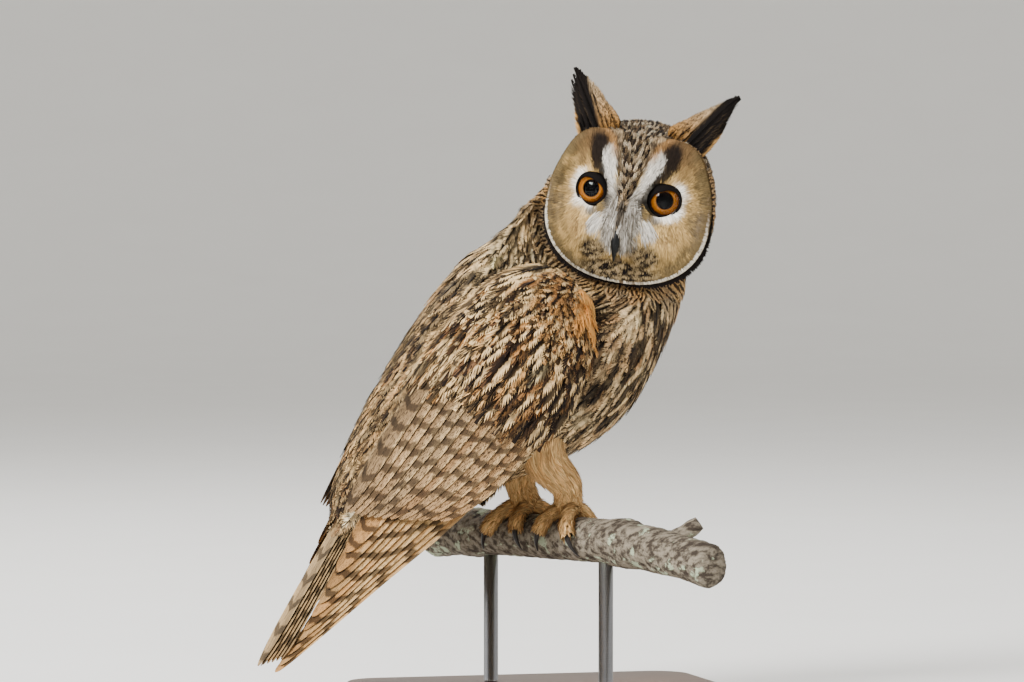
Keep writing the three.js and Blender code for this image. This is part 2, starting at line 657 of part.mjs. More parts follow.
function meshOf(name, solid, finish) {
  const made = solid.getMesh();
  const geometry = new THREE.BufferGeometry();
  geometry.setAttribute("position", new THREE.BufferAttribute(new Float32Array(made.vertProperties), 3));
  geometry.setIndex(new THREE.BufferAttribute(new Uint32Array(made.triVerts), 1));
  geometry.computeVertexNormals();
  const mesh = new THREE.Mesh(geometry, finish);
  mesh.name = name;
  return mesh;
}

// The pieces are made from the inside out, and each is cut clear of those it grows from.
const SIDES = { right: -1, left: 1 };
const model = new THREE.Group();
const owl = new THREE.Group();
const headGroup = new THREE.Group();
owl.position.set(0, 0, PERCH_TOP);
headPose().decompose(headGroup.position, headGroup.quaternion, headGroup.scale);
owl.add(headGroup);
model.add(owl);

// Head, eyes and bill.
const skull = headForm();
const lids = Object.values(SIDES).map(lidForm);
const [upperBill, lowerBill] = [billForm(UPPER_BILL), billForm(LOWER_BILL)];
const sockets = Object.values(SIDES).map((side) => sphere(eyeFrame(side).centre, EYE.radius + GAP, 16, 12));
const bills = joined([billForm(UPPER_BILL, GAP), billForm(LOWER_BILL, GAP)]);
const wholeHead = joined([skull.subtract(joined(Object.values(SIDES).map(openingForm))), ...lids]);
const head = largest(wholeHead.subtract(joined(sockets)).subtract(bills));
headGroup.add(meshOf("head", head, FINISH.face));
for (const [name, side] of Object.entries(SIDES))
  headGroup.add(meshOf("eye_" + name, sphere(eyeFrame(side).centre, EYE.radius, 16, 12), FINISH.eye));
const nostrils = joined([-1, 1].map((side) => sphere(vec(34.6, side * 4.9, -21.5), 1.2, 8, 6)));
headGroup.add(meshOf("bill_upper", largest(upperBill.subtract(nostrils)), FINISH.bill));
headGroup.add(meshOf("bill_lower", largest(lowerBill.subtract(billForm(UPPER_BILL, GAP))), FINISH.bill));
const headClear = skull.scale([1.01, 1.01, 1.01]);
for (const [name, side] of Object.entries(SIDES))
  headGroup.add(meshOf("ear_tuft_" + name, largest(tuftForm(side).subtract(headClear)), FINISH.tuft));

// Neck and torso, parted by a thin cut across the line of the body.
const headSpace = joined([headClear, faceClearance()]).transform(headPose().elements);
const body = torsoForm(0).subtract(headSpace);
const midline = (along) => vec(smooth(TORSO.x, along), 0, smooth(TORSO.z, along));
const neckPlace = midline(TORSO.neckEnd);
const neckWay = midline(TORSO.neckEnd + 0.02).sub(neckPlace).normalize();
const neckCut = neckWay.dot(neckPlace);
const torso = largest(body.trimByPlane(neckWay.toArray(), neckCut + GAP / 2));
const neck = largest(body.trimByPlane(neckWay.clone().negate().toArray(), -neckCut + GAP / 2));
owl.add(meshOf("torso", torso, FINISH.streaked), meshOf("neck", neck, FINISH.streaked));

// Tail and wings.
const bodyClear = torsoForm(GAP);
const tail = largest(tailForm().subtract(bodyClear));
owl.add(meshOf("tail", tail, FINISH.barred));
const tailClear = tailForm(GAP);
for (const [name, side] of Object.entries(SIDES)) {
  const wing = wingForm(side).subtract(bodyClear).subtract(headSpace).subtract(tailClear);
  owl.add(meshOf("wing_" + name, largest(wing), FINISH.mottled));
}

// Branch, feet, claws and legs.
const perch = perchForm();
const perchClear = perchForm(GAP);
owl.add(meshOf("perch", perch, FINISH.bark));
for (const [name, side] of Object.entries(SIDES)) {
  const foot = footForm(side).subtract(perchClear);
  const footClear = footForm(side, GAP);
  const leg = legForm(side).subtract(bodyClear).subtract(footClear).subtract(perchClear);
  owl.add(meshOf("foot_" + name, largest(foot), FINISH.buff));
  owl.add(meshOf("leg_" + name, largest(leg), FINISH.buff));
  for (const toe of TOES) {
    const claw = clawForm(side, toe).subtract(perchClear).subtract(footClear);
    owl.add(meshOf("claw_" + name + "_" + toe.name, largest(claw), FINISH.claw));
  }
}
owl.add(meshOf("stand_rod_front", rodForm(ROD.reach, perchClear), FINISH.rod));
owl.add(meshOf("stand_rod_back", rodForm(-ROD.reach, perchClear), FINISH.rod));
model.add(meshOf("stand_base", solidOf(baseForm()), FINISH.base));

export default model;
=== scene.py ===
import itertools
import math

import bpy
import numpy as np
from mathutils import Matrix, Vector
from mathutils.bvhtree import BVHTree


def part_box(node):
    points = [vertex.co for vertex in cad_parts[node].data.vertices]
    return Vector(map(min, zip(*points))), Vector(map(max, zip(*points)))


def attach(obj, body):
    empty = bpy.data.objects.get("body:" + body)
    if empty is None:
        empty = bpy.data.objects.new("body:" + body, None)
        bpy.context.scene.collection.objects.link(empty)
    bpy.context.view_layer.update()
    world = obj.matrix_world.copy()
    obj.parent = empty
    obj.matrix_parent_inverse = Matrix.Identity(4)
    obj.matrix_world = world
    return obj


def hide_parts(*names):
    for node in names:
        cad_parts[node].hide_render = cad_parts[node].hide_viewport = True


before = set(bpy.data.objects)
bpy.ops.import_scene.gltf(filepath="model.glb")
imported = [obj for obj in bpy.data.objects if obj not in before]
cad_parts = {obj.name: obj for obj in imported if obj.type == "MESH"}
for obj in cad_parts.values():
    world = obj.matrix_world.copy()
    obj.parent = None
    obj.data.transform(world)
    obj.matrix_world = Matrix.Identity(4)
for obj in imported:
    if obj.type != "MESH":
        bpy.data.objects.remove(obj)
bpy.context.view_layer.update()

# A long-eared owl on a stand. The bird is worked out in millimetres in a frame of its own, as the CAD is:
# its origin is the top of the branch midway between the feet, +X is the way its body faces, +Y its left.
PERCH_TOP = 113
BASE = {"length": 200, "width": 160, "thickness": 18, "corner": 22}
ROD = {"radius": 4, "reach": 46}
PERCH = {"radius": 12, "to_front": 128, "to_back": 92, "heading": -62}
TORSO = {
    "x": [38, 36, 30, 24, 13, -3, -27, -52, -77, -99, -113],
    "z": [184, 164, 144, 131, 115, 97, 77, 58, 39, 18, 0],
    "depth": [36, 46, 52, 54, 58, 62, 58, 48, 35, 22, 12],
    "right": [12, 16, 23, 35, 46, 51, 50, 45, 36, 27, 18],
    "left": [24, 31, 38, 43, 48, 51, 50, 45, 36, 27, 18],
}
WING = {
    "x": [2, -12, -29, -47, -67, -91, -116, -140, -163],
    "y": [43, 52, 57, 57, 53, 46, 37, 28, 19],
    "z": [130, 115, 94, 71, 45, 15, -17, -48, -77],
    "breadth": [15, 33, 41, 43, 41, 34, 25, 16, 7],
    "wrap": [46, 50, 54, 58, 64, 76, 90, 110, 130],
    "lean": [4, 8, 12, 15, 20, 30, 40, 48, 52],
}
WING_CORE = 0.56
HEAD = {
    "place": (46.8, -14.3, 176.8), "turn": -118, "nod": 1, "roll": 9.5,
    "half_width": 45.5, "drop": 9.5, "above": 42, "below": 38.5, "face": 29, "rim": 14.5,
    "back": 37, "crown": 54, "chin": 39, "side": 46.5,
}
EYE = {"radius": 12.2, "forward": 15, "aside": 18.9, "splay": 11, "opening": 41.5}
# The iris: its outline as (ahead, away), its radius, and where it meets the ball.
IRIS = {
    "profile": [
        (7.4, 0.05), (7.5, 2.2), (8.2, 3.9), (9.2, 4.36), (9.5, 4.5), (9.6, 5.3), (9.5, 6.4), (9.25, 7.5),
        (8.9, 8.2),
    ],
    "radius": 8.2, "back": 8.5, "inner": 7,
}
# Lids: degrees that the upper lid drops, degrees from straight up to where it drops most, and the lids' edge.
LID = {"drop": 15, "to_bill": 24, "out": 0.3, "aside": 0.7, "wide": 0.95, "deep": 0.8}
# Where the skin is drawn in behind the eyes, and drawn back from the front and the rim of the disc.
SOCKET = {"reach": 14, "spread": 6, "depth": 6}
CLEAR = {"share": 1.1, "back": 8, "slope": 60}
TUFT = {
    "aside": 27.5, "above": 33.5, "forward": 8, "length": 36, "splay": 33.2, "cock": 1.5, "lean": 9,
    "half_width": 8, "gather": 0.5, "curl": 5, "sunk": 8, "feathers": 90, "feather_width": 6.5,
}
TAIL = {"root": (-92, 0, 32), "length": 132, "lie": 57.4, "width": 24, "fan": 1.3}
LEG = {"stance": 17, "ankle": 7.5, "thigh": 15, "ankle_height": 9}
TOE_RADIUS = 4.6
CLAW_RADIUS = 1.9
# Toes: where each starts beside the foot's middle, how far it wanders aside, its way round the branch, and
# how many degrees it reaches round it.
TOES = {
    "inner": (-3.5, -7, 1, 88),
    "middle": (1.5, 3, 1, 98),
    "outer": (4, 11, -1, 78),
    "hind": (-2.5, -5, -1, 72),
}
SIDES = {"right": -1, "left": 1}
# The side of a feather's patch on the unwrap of a coat.
BAKE_PATCH = 0.003
LEFTWARD = np.array([0, 1, 0])
UP = np.array([0.0, 0.0, 1.0])

rng = np.random.default_rng(7)


def srgb(*shade):
    """A colour given as 0 to 255 on screen, as the linear numbers that a shader takes."""
    c = np.array(shade, float) / 255
    return np.where(c <= 0.04045, c / 12.92, ((c + 0.055) / 1.055) ** 2.4)


CREAM = srgb(232, 196, 142)
BUFF = srgb(198, 150, 90)
ORANGE_BUFF = srgb(214, 150, 78)
BROWN = srgb(92, 67, 45)
GREY_BROWN = srgb(140, 122, 98)
INK = srgb(20, 14, 11)
WHITE = srgb(240, 236, 228)


def unit(v):
    """Ways made one long."""
    return v / np.maximum(np.linalg.norm(v, axis=-1, keepdims=True), 1e-9)


def lerp(a, b, t):
    """A value on the way from a to b."""
    return a + (b - a) * t


def step(x, low, high):
    """0 below low, 1 above high, and smooth between them. low may be above high."""
    t = np.clip((x - low) / (high - low), 0, 1)
    return t * t * (3 - 2 * t)


def bell(x, width):
    """1 at 0, falling smoothly to nearly 0 by twice the width."""
    return np.exp(-((x / width) ** 2))


def circle(count):
    """Turns evenly round a circle."""
    return np.linspace(0, 2 * math.pi, count, endpoint=False)


def round_middle(first, second, turn, wide=1.0, deep=1.0):
    """Points round a middle, from one way towards another by a turn, with how far they are along each."""
    return first * (wide * np.cos(turn))[..., None] + second * (deep * np.sin(turn))[..., None]


def over(way):
    """The way square to another in a plane through the body, upwards for one that runs back."""
    return np.stack([way[..., 2], 0 * way[..., 2], -way[..., 0]], -1)


def picked(chosen, *lists):
    """The same entries of several lists."""
    return tuple(v[chosen] for v in lists)


def mixed(a, b, share):
    """Two colours, or lists of them, mixed by a share for each."""
    share = np.asarray(share, float)[..., None]
    return a * (1 - share) + b * share


def layered(colour, *layers):
    """A colour with others laid over it in turn, each by a share that is kept between 0 and 1."""
    for shade, share in layers:
        colour = mixed(colour, shade, np.clip(share, 0, 1))
    return colour


def smooth(values, t):
    """A smooth value along a list of numbers, at t from 0 to 1."""
    values = np.asarray(values, float)
    place = np.asarray(t, float) * (len(values) - 1)
    i = np.clip(np.floor(place).astype(int), 0, len(values) - 2)
    f = place - i
    a, b, c, d = (values[np.clip(i + k, 0, len(values) - 1)] for k in (-1, 0, 1, 2))
    return 0.5 * (2 * b + (c - a) * f + (2 * a - 5 * b + 4 * c - d) * f**2 + (3 * b - a - 3 * c + d) * f**3)


def ripple(points, size, seed):
    """Smooth noise, about -1 to 1, whose lumps are about size across."""
    waves = np.random.default_rng(seed)
    total = np.zeros(points.shape[:-1])
    for _ in range(7):
        way = unit(waves.normal(size=points.shape[-1])) * waves.uniform(0.6, 1.5) * 2 * math.pi / (2 * size)
        total += np.sin(points @ way + waves.uniform(0, 6.28))
    return total / 3


# Forms of the bird, as in the CAD.


def torso_way(along):
    """The way of the torso's line, from the neck to the tail."""
    dx = smooth(TORSO["x"], along + 0.01) - smooth(TORSO["x"], along - 0.01)
    dz = smooth(TORSO["z"], along + 0.01) - smooth(TORSO["z"], along - 0.01)
    return unit(np.stack([dx, 0 * dx, dz], -1))


def torso_spot(along, turn):
    """A point of the torso. turn goes from the middle of the back towards the right side."""
    centre = np.stack([smooth(TORSO["x"], along), 0 * along, smooth(TORSO["z"], along)], -1)
    wide = np.where(np.sin(turn) > 0, smooth(TORSO["right"], along), smooth(TORSO["left"], along))
    return centre + round_middle(over(torso_way(along)), -LEFTWARD, turn, smooth(TORSO["depth"], along), wide)


def torso_place(points):
    """Where points lie on the torso: along it, and the turn round it."""
    t = np.linspace(0, 1, 241)
    centre = np.stack([smooth(TORSO["x"], t), 0 * t, smooth(TORSO["z"], t)], -1)
    way = torso_way(t)
    offset = points[:, None] - centre[None]
    ahead = np.einsum("pkc,kc->pk", offset, way)
    distance = np.linalg.norm(offset, axis=-1)
    best = np.argmin(np.abs(ahead) + 0.25 * distance, axis=1)
    off = offset[np.arange(len(points)), best]
    near = way[best]
    turn = np.arctan2(-off[:, 1], np.einsum("pc,pc->p", off, over(near)))
    return t[best], turn, near


def wing_spot(side, along, across, lift):
    """A point of the folded wing's outer face, and the way out of it."""
    along, across, lift = np.broadcast_arrays(*(np.asarray(v, float) for v in (along, across, lift)))

    def middle(t):
        return np.stack([smooth(WING["x"], t), side * smooth(WING["y"], t), smooth(WING["z"], t)], -1)

    way = unit(middle(np.minimum(along + 0.01, 1)) - middle(np.maximum(along - 0.01, 0)))
    lean = np.radians(smooth(WING["lean"], along))[..., None]
    out = LEFTWARD * side * np.cos(lean) + unit(over(way)) * np.sin(lean)
    out = unit(out - way * np.sum(out * way, -1, keepdims=True))
    forward = np.cross(way, out) * side
    wrap = smooth(WING["wrap"], along)
    turn = (across * smooth(WING["breadth"], along) / wrap)[..., None]
    normal = out * np.cos(turn) + forward * np.sin(turn)
    return middle(along) - out * wrap[..., None] + normal * (wrap + lift)[..., None], normal


def turned(axis, degrees):
    """A turn about an axis, as a matrix."""
    c, s = math.cos(math.radians(degrees)), math.sin(math.radians(degrees))
    return {
        "x": np.array([[1, 0, 0], [0, c, -s], [0, s, c]]),
        "y": np.array([[c, 0, s], [0, 1, 0], [-s, 0, c]]),
        "z": np.array([[c, -s, 0], [s, c, 0], [0, 0, 1]]),
    }[axis]


HEAD_TURN = turned("z", HEAD["turn"]) @ turned("y", HEAD["nod"]) @ turned("x", -HEAD["roll"])
HEAD_PLACE = np.array(HEAD["place"], float)


def from_head(points):
    """Points of the head's frame in the owl's."""
    return points @ HEAD_TURN.T + HEAD_PLACE


def to_head(points):
    """Points of the owl's frame in the head's."""
    return (points - HEAD_PLACE) @ HEAD_TURN


def oval(angle, wide, high, power):
    """How far a squarish oval reaches from its middle at an angle."""
    return (np.abs(np.cos(angle) / wide) ** power + np.abs(np.sin(angle) / high) ** power) ** (-1 / power)


def disc_reach(angle):
    """How far the facial disc reaches from its middle, at an angle from the owl's left towards the crown."""
    high = np.where(np.sin(angle) > 0, HEAD["above"], HEAD["below"])
    lobe = sum(bell(angle - math.radians(at), math.radians(17)) for at in (52, 128))
    return oval(angle, HEAD["half_width"], high, 2.3) + 4.5 * lobe


def disc_place(aside, above_eyes):
    """The share of the way from the middle of the disc to its rim, and the angle."""
    above = above_eyes + HEAD["drop"]
    angle = np.arctan2(above, aside)
    angle = np.where(angle < -math.pi / 2, angle + 2 * math.pi, angle)
    return np.hypot(aside, above) / disc_reach(angle), angle


def face_forward(aside, above_eyes):
    """How far the face stands forward at a place aside from and above the middle of the eyes."""
    share, angle = disc_place(aside, above_eyes)
    share = np.minimum(share, 1)
    dome = HEAD["face"] - (HEAD["face"] - HEAD["rim"]) * share**2.1
    forehead = 4.6 * bell(aside, lerp(6.5, 17, step(above_eyes, 0, 36))) * step(above_eyes, -12, 4)
    bristles = 10.5 * bell(aside, 9.5) * bell(above_eyes + 17, 14)
    dish = -3 * bell(np.abs(aside) - 25, 12) * bell(above_eyes + 1, 16)
    socket = 2.2 * bell(np.hypot(np.abs(aside) - EYE["aside"], above_eyes) - 9, 4)
    rim = 2.8 * bell(share - 0.95, 0.06) * (1 - bell(angle - math.pi / 2, math.radians(26)))
    return dome + forehead + bristles + dish + socket + rim


def head_rings(sides=96, front=22, behind=18):
    """Rings from the middle of the face to its rim, and from there round the back of the skull."""
    angle = circle(sides) + 1e-6
    angle = np.where(angle > 1.5 * math.pi, angle - 2 * math.pi, angle)
    disc = disc_reach(angle)
    skull = oval(angle, HEAD["side"], np.where(np.sin(angle) > 0, HEAD["crown"], HEAD["chin"]), 2.2)
    rings = []
    for i in range(1, front + behind + 1):
        turn = (i - front) / (behind + 1.1) * math.pi / 2
        reach = disc * i / front
        if i > front:
            reach = lerp(disc, skull, min(1, turn / 0.5)) * math.cos(turn) ** 0.62
        aside, above = reach * np.cos(angle), reach * np.sin(angle) - HEAD["drop"]
        forward = face_forward(aside, above)
        if i > front:
            forward = 0 * angle + HEAD["rim"] - (HEAD["rim"] + HEAD["back"]) * math.sin(turn)
        rings.append(np.stack([forward, aside, above], -1))
    return from_head(np.array(rings))


def eye_frame(side):
    """An eye's centre, the way it looks and the way aside, in the head's frame."""
    splay = math.radians(EYE["splay"]) * side
    centre = np.array([EYE["forward"], side * EYE["aside"], 0.0])
    ahead = np.array([math.cos(splay), math.sin(splay), 0])
    return centre, ahead, np.array([-ahead[1], ahead[0], 0])


PERCH_WAY = turned("z", PERCH["heading"])[:, 0]
PERCH_ASIDE = np.array([-PERCH_WAY[1], PERCH_WAY[0], 0])


def perch_at(along):
    """A point of the branch's middle line."""
    return PERCH_WAY * np.asarray(along, float)[..., None] - UP * PERCH["radius"]


def foot_place(side):
    """The middle of a foot."""
    return PERCH_WAY * (-side * LEG["stance"]) + UP * TOE_RADIUS


def round_perch(side, toe, angle, distance):
    """A point of a toe's line: angle in degrees round the branch from its top."""
    root, wander, way, reach = TOES[toe]
    along = -side * LEG["stance"] - side * (root + wander * angle / reach)
    turn = np.radians(angle) * way
    return perch_at(along) + round_middle(UP, PERCH_ASIDE, turn, distance, distance)


def toe_line(side, toe, count):
    """The line of a toe from its root to its claw."""
    angle = np.linspace(0, TOES[toe][3], count)
    return round_perch(side, toe, angle, 0 * angle + PERCH["radius"] + TOE_RADIUS * 0.86)


def leg_line(side, count):
    """The line of a leg down to its ankle."""
    foot = foot_place(side)
    stops = np.array([
        [-10, side * 23, 46], [-8, side * 22.5, 32],
        [foot[0] - 3, lerp(side * 22, foot[1], 0.55), 18], [foot[0] - 0.5, foot[1], LEG["ankle_height"] - 1],
    ])
    t = np.linspace(0, 1, count)
    return np.stack([smooth(stops[:, k], t) for k in range(3)], -1)


def leg_radius(share):
    """The radius of a leg at a share of the way down."""
    return lerp(LEG["thigh"], LEG["ankle"], np.minimum(1, share * 1.25))


def toe_radius(share):
    """The radius of a toe, with its pads."""
    return TOE_RADIUS * (1 - 0.22 * share + 0.07 * np.sin(9 * share))


# Mesh building.


def grid_quads(rows, columns, ring_rows=False, ring_columns=False):
    """Quads over a grid of points, row after row, closed into a ring one way or both."""
    across = np.arange(columns - (not ring_columns))
    i, j = np.meshgrid(np.arange(rows - (not ring_rows)), across, indexing="ij")
    low, high = i * columns, (i + 1) % rows * columns
    after = (j + 1) % columns
    return np.stack([low + j, high + j, high + after, low + after], -1).reshape(-1, 4)


def loft(rings):
    """Points and triangles of a closed form through rings of points, with a fan over each end."""
    rows, count = rings.shape[:2]
    points = np.concatenate([rings.reshape(-1, 3), rings[:1].mean(1), rings[-1:].mean(1)])
    j = np.arange(count)
    nxt = (j + 1) % count
    faces = []
    for i in range(rows - 1):
        a, b = i * count + j, i * count + nxt
        faces += [np.stack([a, b, b + count], -1), np.stack([a, b + count, a + count], -1)]
    end = (rows - 1) * count
    faces.append(np.stack([0 * j + rows * count, nxt, j], -1))
    faces.append(np.stack([0 * j + rows * count + 1, end + j, end + nxt], -1))
    faces = np.concatenate(faces)
    a, b, c = (points[faces[:, k]] for k in range(3))
    if np.sum(a * np.cross(b, c)) < 0:
        faces = faces[:, ::-1]
    return points, faces


def beside(way):
    """Two ways square to a line's own and to each other."""
    across = unit(np.cross(way, np.array([0.31, 0.87, 0.38])))
    return across, np.cross(way, across)


def tube(line, radius, sides):
    """Rings of points round a line, with its radius at each point."""
    across, other = beside(unit(np.gradient(line, axis=0)))
    radius = np.broadcast_to(radius, len(line))[:, None]
    return line[:, None] + round_middle(across[:, None], other[:, None], circle(sides), radius, radius)


def together(forms):
    """Several forms of points and triangles as one."""
    points, faces, start = [], [], 0
    for p, f in forms:
        points.append(p)
        faces.append(f + start)
        start += len(p)
    return np.concatenate(points), np.concatenate(faces)


def in_row(points):
    """Points of the owl's frame, in metres in the row frame."""
    return (points + UP * PERCH_TOP) / 1000


def mesh_object(name, points, faces, material=None, maps=None, values=None):
    """A mesh from arrays. maps are UV maps and values are colours, each with one entry a vertex."""
    mesh = bpy.data.meshes.new(name)
    points, corners = points.reshape(-1, 3), faces.shape[1]
    mesh.vertices.add(len(points))
    mesh.vertices.foreach_set("co", points.astype(np.float32).ravel())
    mesh.loops.add(faces.size)
    mesh.loops.foreach_set("vertex_index", faces.astype(np.int32).ravel())
    mesh.polygons.add(len(faces))
    mesh.polygons.foreach_set("loop_start", np.arange(0, faces.size, corners, dtype=np.int32))
    mesh.update(calc_edges=True)
    mesh.polygons.foreach_set("use_smooth", np.full(len(faces), True))
    for key, uv in (maps or {}).items():
        layer = mesh.uv_layers.new(name=key, do_init=False)
        layer.data.foreach_set("uv", uv[faces.ravel()].astype(np.float32).ravel())
    for key, value in (values or {}).items():
        layer = mesh.attributes.new(key, "FLOAT_COLOR", "POINT")
        layer.data.foreach_set("color", value.astype(np.float32).ravel())
    if material:
        mesh.materials.append(material)
    piece = bpy.data.objects.new(name, mesh)
    bpy.context.scene.collection.objects.link(piece)
    return piece


def placed(piece, slot, *nodes):
    """Hangs a piece under the root and hides the CAD nodes that it stands for. slot, its finish, is not used.
    """
    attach(piece, "root")
    if nodes:
        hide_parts(*nodes)
    return piece


def owl_piece(name, points, faces, material, slot, *nodes, maps=None, values=None):
    """A piece from points in the owl's frame, with its finish and the CAD nodes that it stands for."""
    return placed(mesh_object(name, in_row(points), faces, material, maps, values), slot, *nodes)


def remeshed(points, faces, size, rounds):
    """One even skin over overlapping forms. Size and points are in millimetres."""
    rough = mesh_object("rough", points / 1000, faces)
    merge = rough.modifiers.new("merge", "REMESH")
    merge.mode = "VOXEL"
    merge.voxel_size = size / 1000
    ease = rough.modifiers.new("ease", "SMOOTH")
    ease.iterations = rounds
    ease.factor = 0.5
    bpy.context.view_layer.update()
    result = bpy.data.meshes.new_from_object(rough.evaluated_get(bpy.context.evaluated_depsgraph_get()))
    bpy.data.objects.remove(rough)
    spots, outs = (np.empty(len(result.vertices) * 3, np.float32) for _ in range(2))
    result.vertices.foreach_get("co", spots)
    result.vertices.foreach_get("normal", outs)
    quads = np.empty(len(result.loops), np.int32)
    result.loops.foreach_get("vertex_index", quads)
    bpy.data.meshes.remove(result)
    return spots.reshape(-1, 3).astype(float) * 1000, outs.reshape(-1, 3).astype(float), quads.reshape(-1, 4)


# Materials.


class Shader:
    """A node material that is built in a few words."""

    def __init__(self, name):
        self.material = bpy.data.materials.new(name)
        self.material.use_nodes = True
        self.tree = self.material.node_tree
        self.tree.nodes.clear()

    def node(self, kind, inputs=None, **settings):
        made = self.tree.nodes.new(kind)
        for key, value in settings.items():
            setattr(made, key, value)
        for key, value in (inputs or {}).items():
            if isinstance(value, bpy.types.NodeSocket):
                self.tree.links.new(value, made.inputs[key])
            else:
                made.inputs[key].default_value = value
        return made

    def math(self, kind, a, b=0.0, c=0.0):
        return self.node("ShaderNodeMath", {0: a, 1: b, 2: c}, operation=kind).outputs[0]

    def times(self, a, b):
        return self.math("MULTIPLY", a, b)

    def plus(self, a, b):
        return self.math("ADD", a, b)

    def fit(self, a, times, plus):
        return self.math("MULTIPLY_ADD", a, times, plus)

    def step(self, value, low, high):
        inputs = {"Value": value, "From Min": low, "From Max": high}
        return self.node("ShaderNodeMapRange", inputs, interpolation_type="SMOOTHSTEP").outputs[0]

    def mix(self, share, a, b, kind="MIX"):
        """Mixes two colours by a share. Each is a socket or three numbers."""
        a, b = (c if isinstance(c, bpy.types.NodeSocket) else tuple(c) + (1,) for c in (a, b))
        made = self.node("ShaderNodeMix", {0: share, 6: a, 7: b}, data_type="RGBA", blend_type=kind)
        return made.outputs[2]

    def shaded(self, colour, shade):
        grey = self.node("ShaderNodeCombineColor", {0: shade, 1: shade, 2: shade}).outputs[0]
        return self.mix(1.0, colour, grey, "MULTIPLY")

    def place(self):
        return self.node("ShaderNodeTexCoord").outputs["Object"]

    def mapped(self, place, scale, turn=(0, 0, 0)):
        return self.node("ShaderNodeMapping", {0: place, 2: turn, 3: scale}).outputs[0]

    def vane(self):
        """Places across and along a feather."""
        place = self.node("ShaderNodeUVMap", uv_map="Vane").outputs[0]
        return self.node("ShaderNodeSeparateXYZ", {0: place}).outputs

    def noise(self, place, scale, detail=2.0, rough=0.5):
        inputs = {"Vector": place, "Scale": scale, "Detail": detail, "Roughness": rough}
        return self.node("ShaderNodeTexNoise", inputs).outputs[0]

    def vector(self, x, y, z=0.0):
        return self.node("ShaderNodeCombineXYZ", {0: x, 1: y, 2: z}).outputs[0]

    def attribute(self, name):
        return self.node("ShaderNodeAttribute", attribute_name=name)

    def bump(self, height, strength, distance):
        inputs = {"Height": height, "Strength": strength, "Distance": distance}
        return self.node("ShaderNodeBump", inputs).outputs[0]

    def surface(self, colour, roughness, normal=None, **sockets):
        inputs = {"Base Color": colour, "Roughness": roughness}
        inputs.update({key.replace("_", " "): value for key, value in sockets.items()})
        if normal is not None:
            inputs["Normal"] = normal
        shader = self.node("ShaderNodeBsdfPrincipled", inputs)
        end = self.node("ShaderNodeOutputMaterial")
        self.tree.links.new(shader.outputs[0], end.inputs[0])
        return self.material


def plumage(name, bars, chevron, fine, stagger=1.0, edge=0.3, duty=0.25, inner=1.0):
    """Feathers with a dark shaft streak, crossbars, fine mottling and a pale patch on one web.

    Ground holds the feather's own colour, and a number in alpha that differs by feather. Marks holds the
    width of the streak, and the strength of bars, mottling and patch. bars is how many there are along a
    feather, chevron how far they slant, fine the scale of the mottling, stagger how far the bars of
    neighbours are out of step, edge how pale the rim is, duty where in its wave a bar starts, and inner the
    shade of the far web: partly its own darker colour and partly painted shade where the neighbour lies over
    it."""
    s = Shader(name)
    ground, marks = s.attribute("Ground"), s.attribute("Marks")
    parts = s.node("ShaderNodeSeparateColor", {0: marks.outputs["Color"]}).outputs
    vane = s.vane()
    seed = s.times(ground.outputs["Alpha"], 60)
    signed = s.fit(vane[0], 2, -1)
    across = s.math("ABSOLUTE", signed)
    along = vane[1]
    broad = s.noise(s.vector(s.fit(signed, 1.1, seed), s.times(along, 3.4), seed), 1.6, 2)
    wobble = s.fit(broad, 0.9, -0.45)
    swept = s.fit(across, -5, s.times(along, 26))
    jagged = s.fit(s.noise(s.vector(signed, swept, seed), 1.0, 1), 0.5, -0.25)
    uneven = s.plus(across, s.plus(wobble, jagged))
    swell = s.fit(s.step(along, 0.05, 0.62), 0.6, 0.4)
    point = s.fit(s.step(along, 0.72, 0.99), -0.9, 1)
    width = s.times(parts[0], s.times(swell, point))
    streak = s.step(s.math("SUBTRACT", width, uneven), -0.06, 0.06)
    streak = s.times(streak, s.step(parts[0], 0.02, 0.08))
    phase = s.fit(along, bars, s.times(across, chevron))
    phase = s.plus(phase, s.fit(wobble, 0.55, s.times(seed, stagger)))
    wave = s.math("SINE", s.times(s.fit(jagged, 0.35, phase), 2 * math.pi))
    barred = s.times(s.step(wave, duty, duty + 0.65), parts[1])
    speck_place = s.vector(s.fit(signed, fine * 0.4, seed), s.times(along, fine), seed)
    specks = s.noise(speck_place, 1.0, 3, 0.62)
    mottled = s.times(s.step(specks, 0.49, 0.6), parts[2])
    outer = s.step(s.fit(wobble, 1.5, signed), 0.0, 0.3)
    distal = s.step(s.fit(jagged, 0.9, along), 0.45, 0.62)
    patch = s.times(s.times(outer, distal), marks.outputs["Alpha"])
    mottled = s.times(mottled, s.fit(patch, -0.6, 1))
    dark = s.math("MAXIMUM", streak, s.math("MAXIMUM", barred, mottled))
    barbs = s.math("SINE", s.fit(across, -46, s.times(along, 150)))
    # The far web is darker: partly its own colour, and partly painted shade where the next feather lies over
    # it.
    far_web_shade = s.fit(s.step(signed, -0.45, 0.15), 1 - inner, inner)
    shade = s.times(s.fit(barbs, 0.05, 0.96), s.fit(s.step(along, 0.2, 0.8), 0.24, 0.8))
    shade = s.times(shade, far_web_shade)
    tint = s.mix(patch, ground.outputs["Color"], CREAM)
    tint = s.mix(s.times(s.step(uneven, 0.62, 0.95), edge), tint, CREAM)
    colour = s.mix(s.times(dark, 0.93), tint, INK)
    return s.surface(s.shaded(colour, shade), 0.78, s.bump(barbs, 0.22, 0.0002), Specular_IOR_Level=0.1)


def down(name):
    """Hair-like feathers that take their colour from the bird's markings."""
    s = Shader(name)
    ground = s.attribute("Ground")
    vane = s.vane()
    seed = s.times(ground.outputs["Alpha"], 60)
    fibres = s.noise(s.vector(s.fit(vane[0], 5, seed), s.times(vane[1], 2), seed), 2, 2)
    shade = s.times(s.fit(fibres, 0.36, 0.8), s.fit(vane[1], 0.22, 0.84))
    return s.surface(s.shaded(ground.outputs["Color"], shade), 0.8, None, Specular_IOR_Level=0.12)


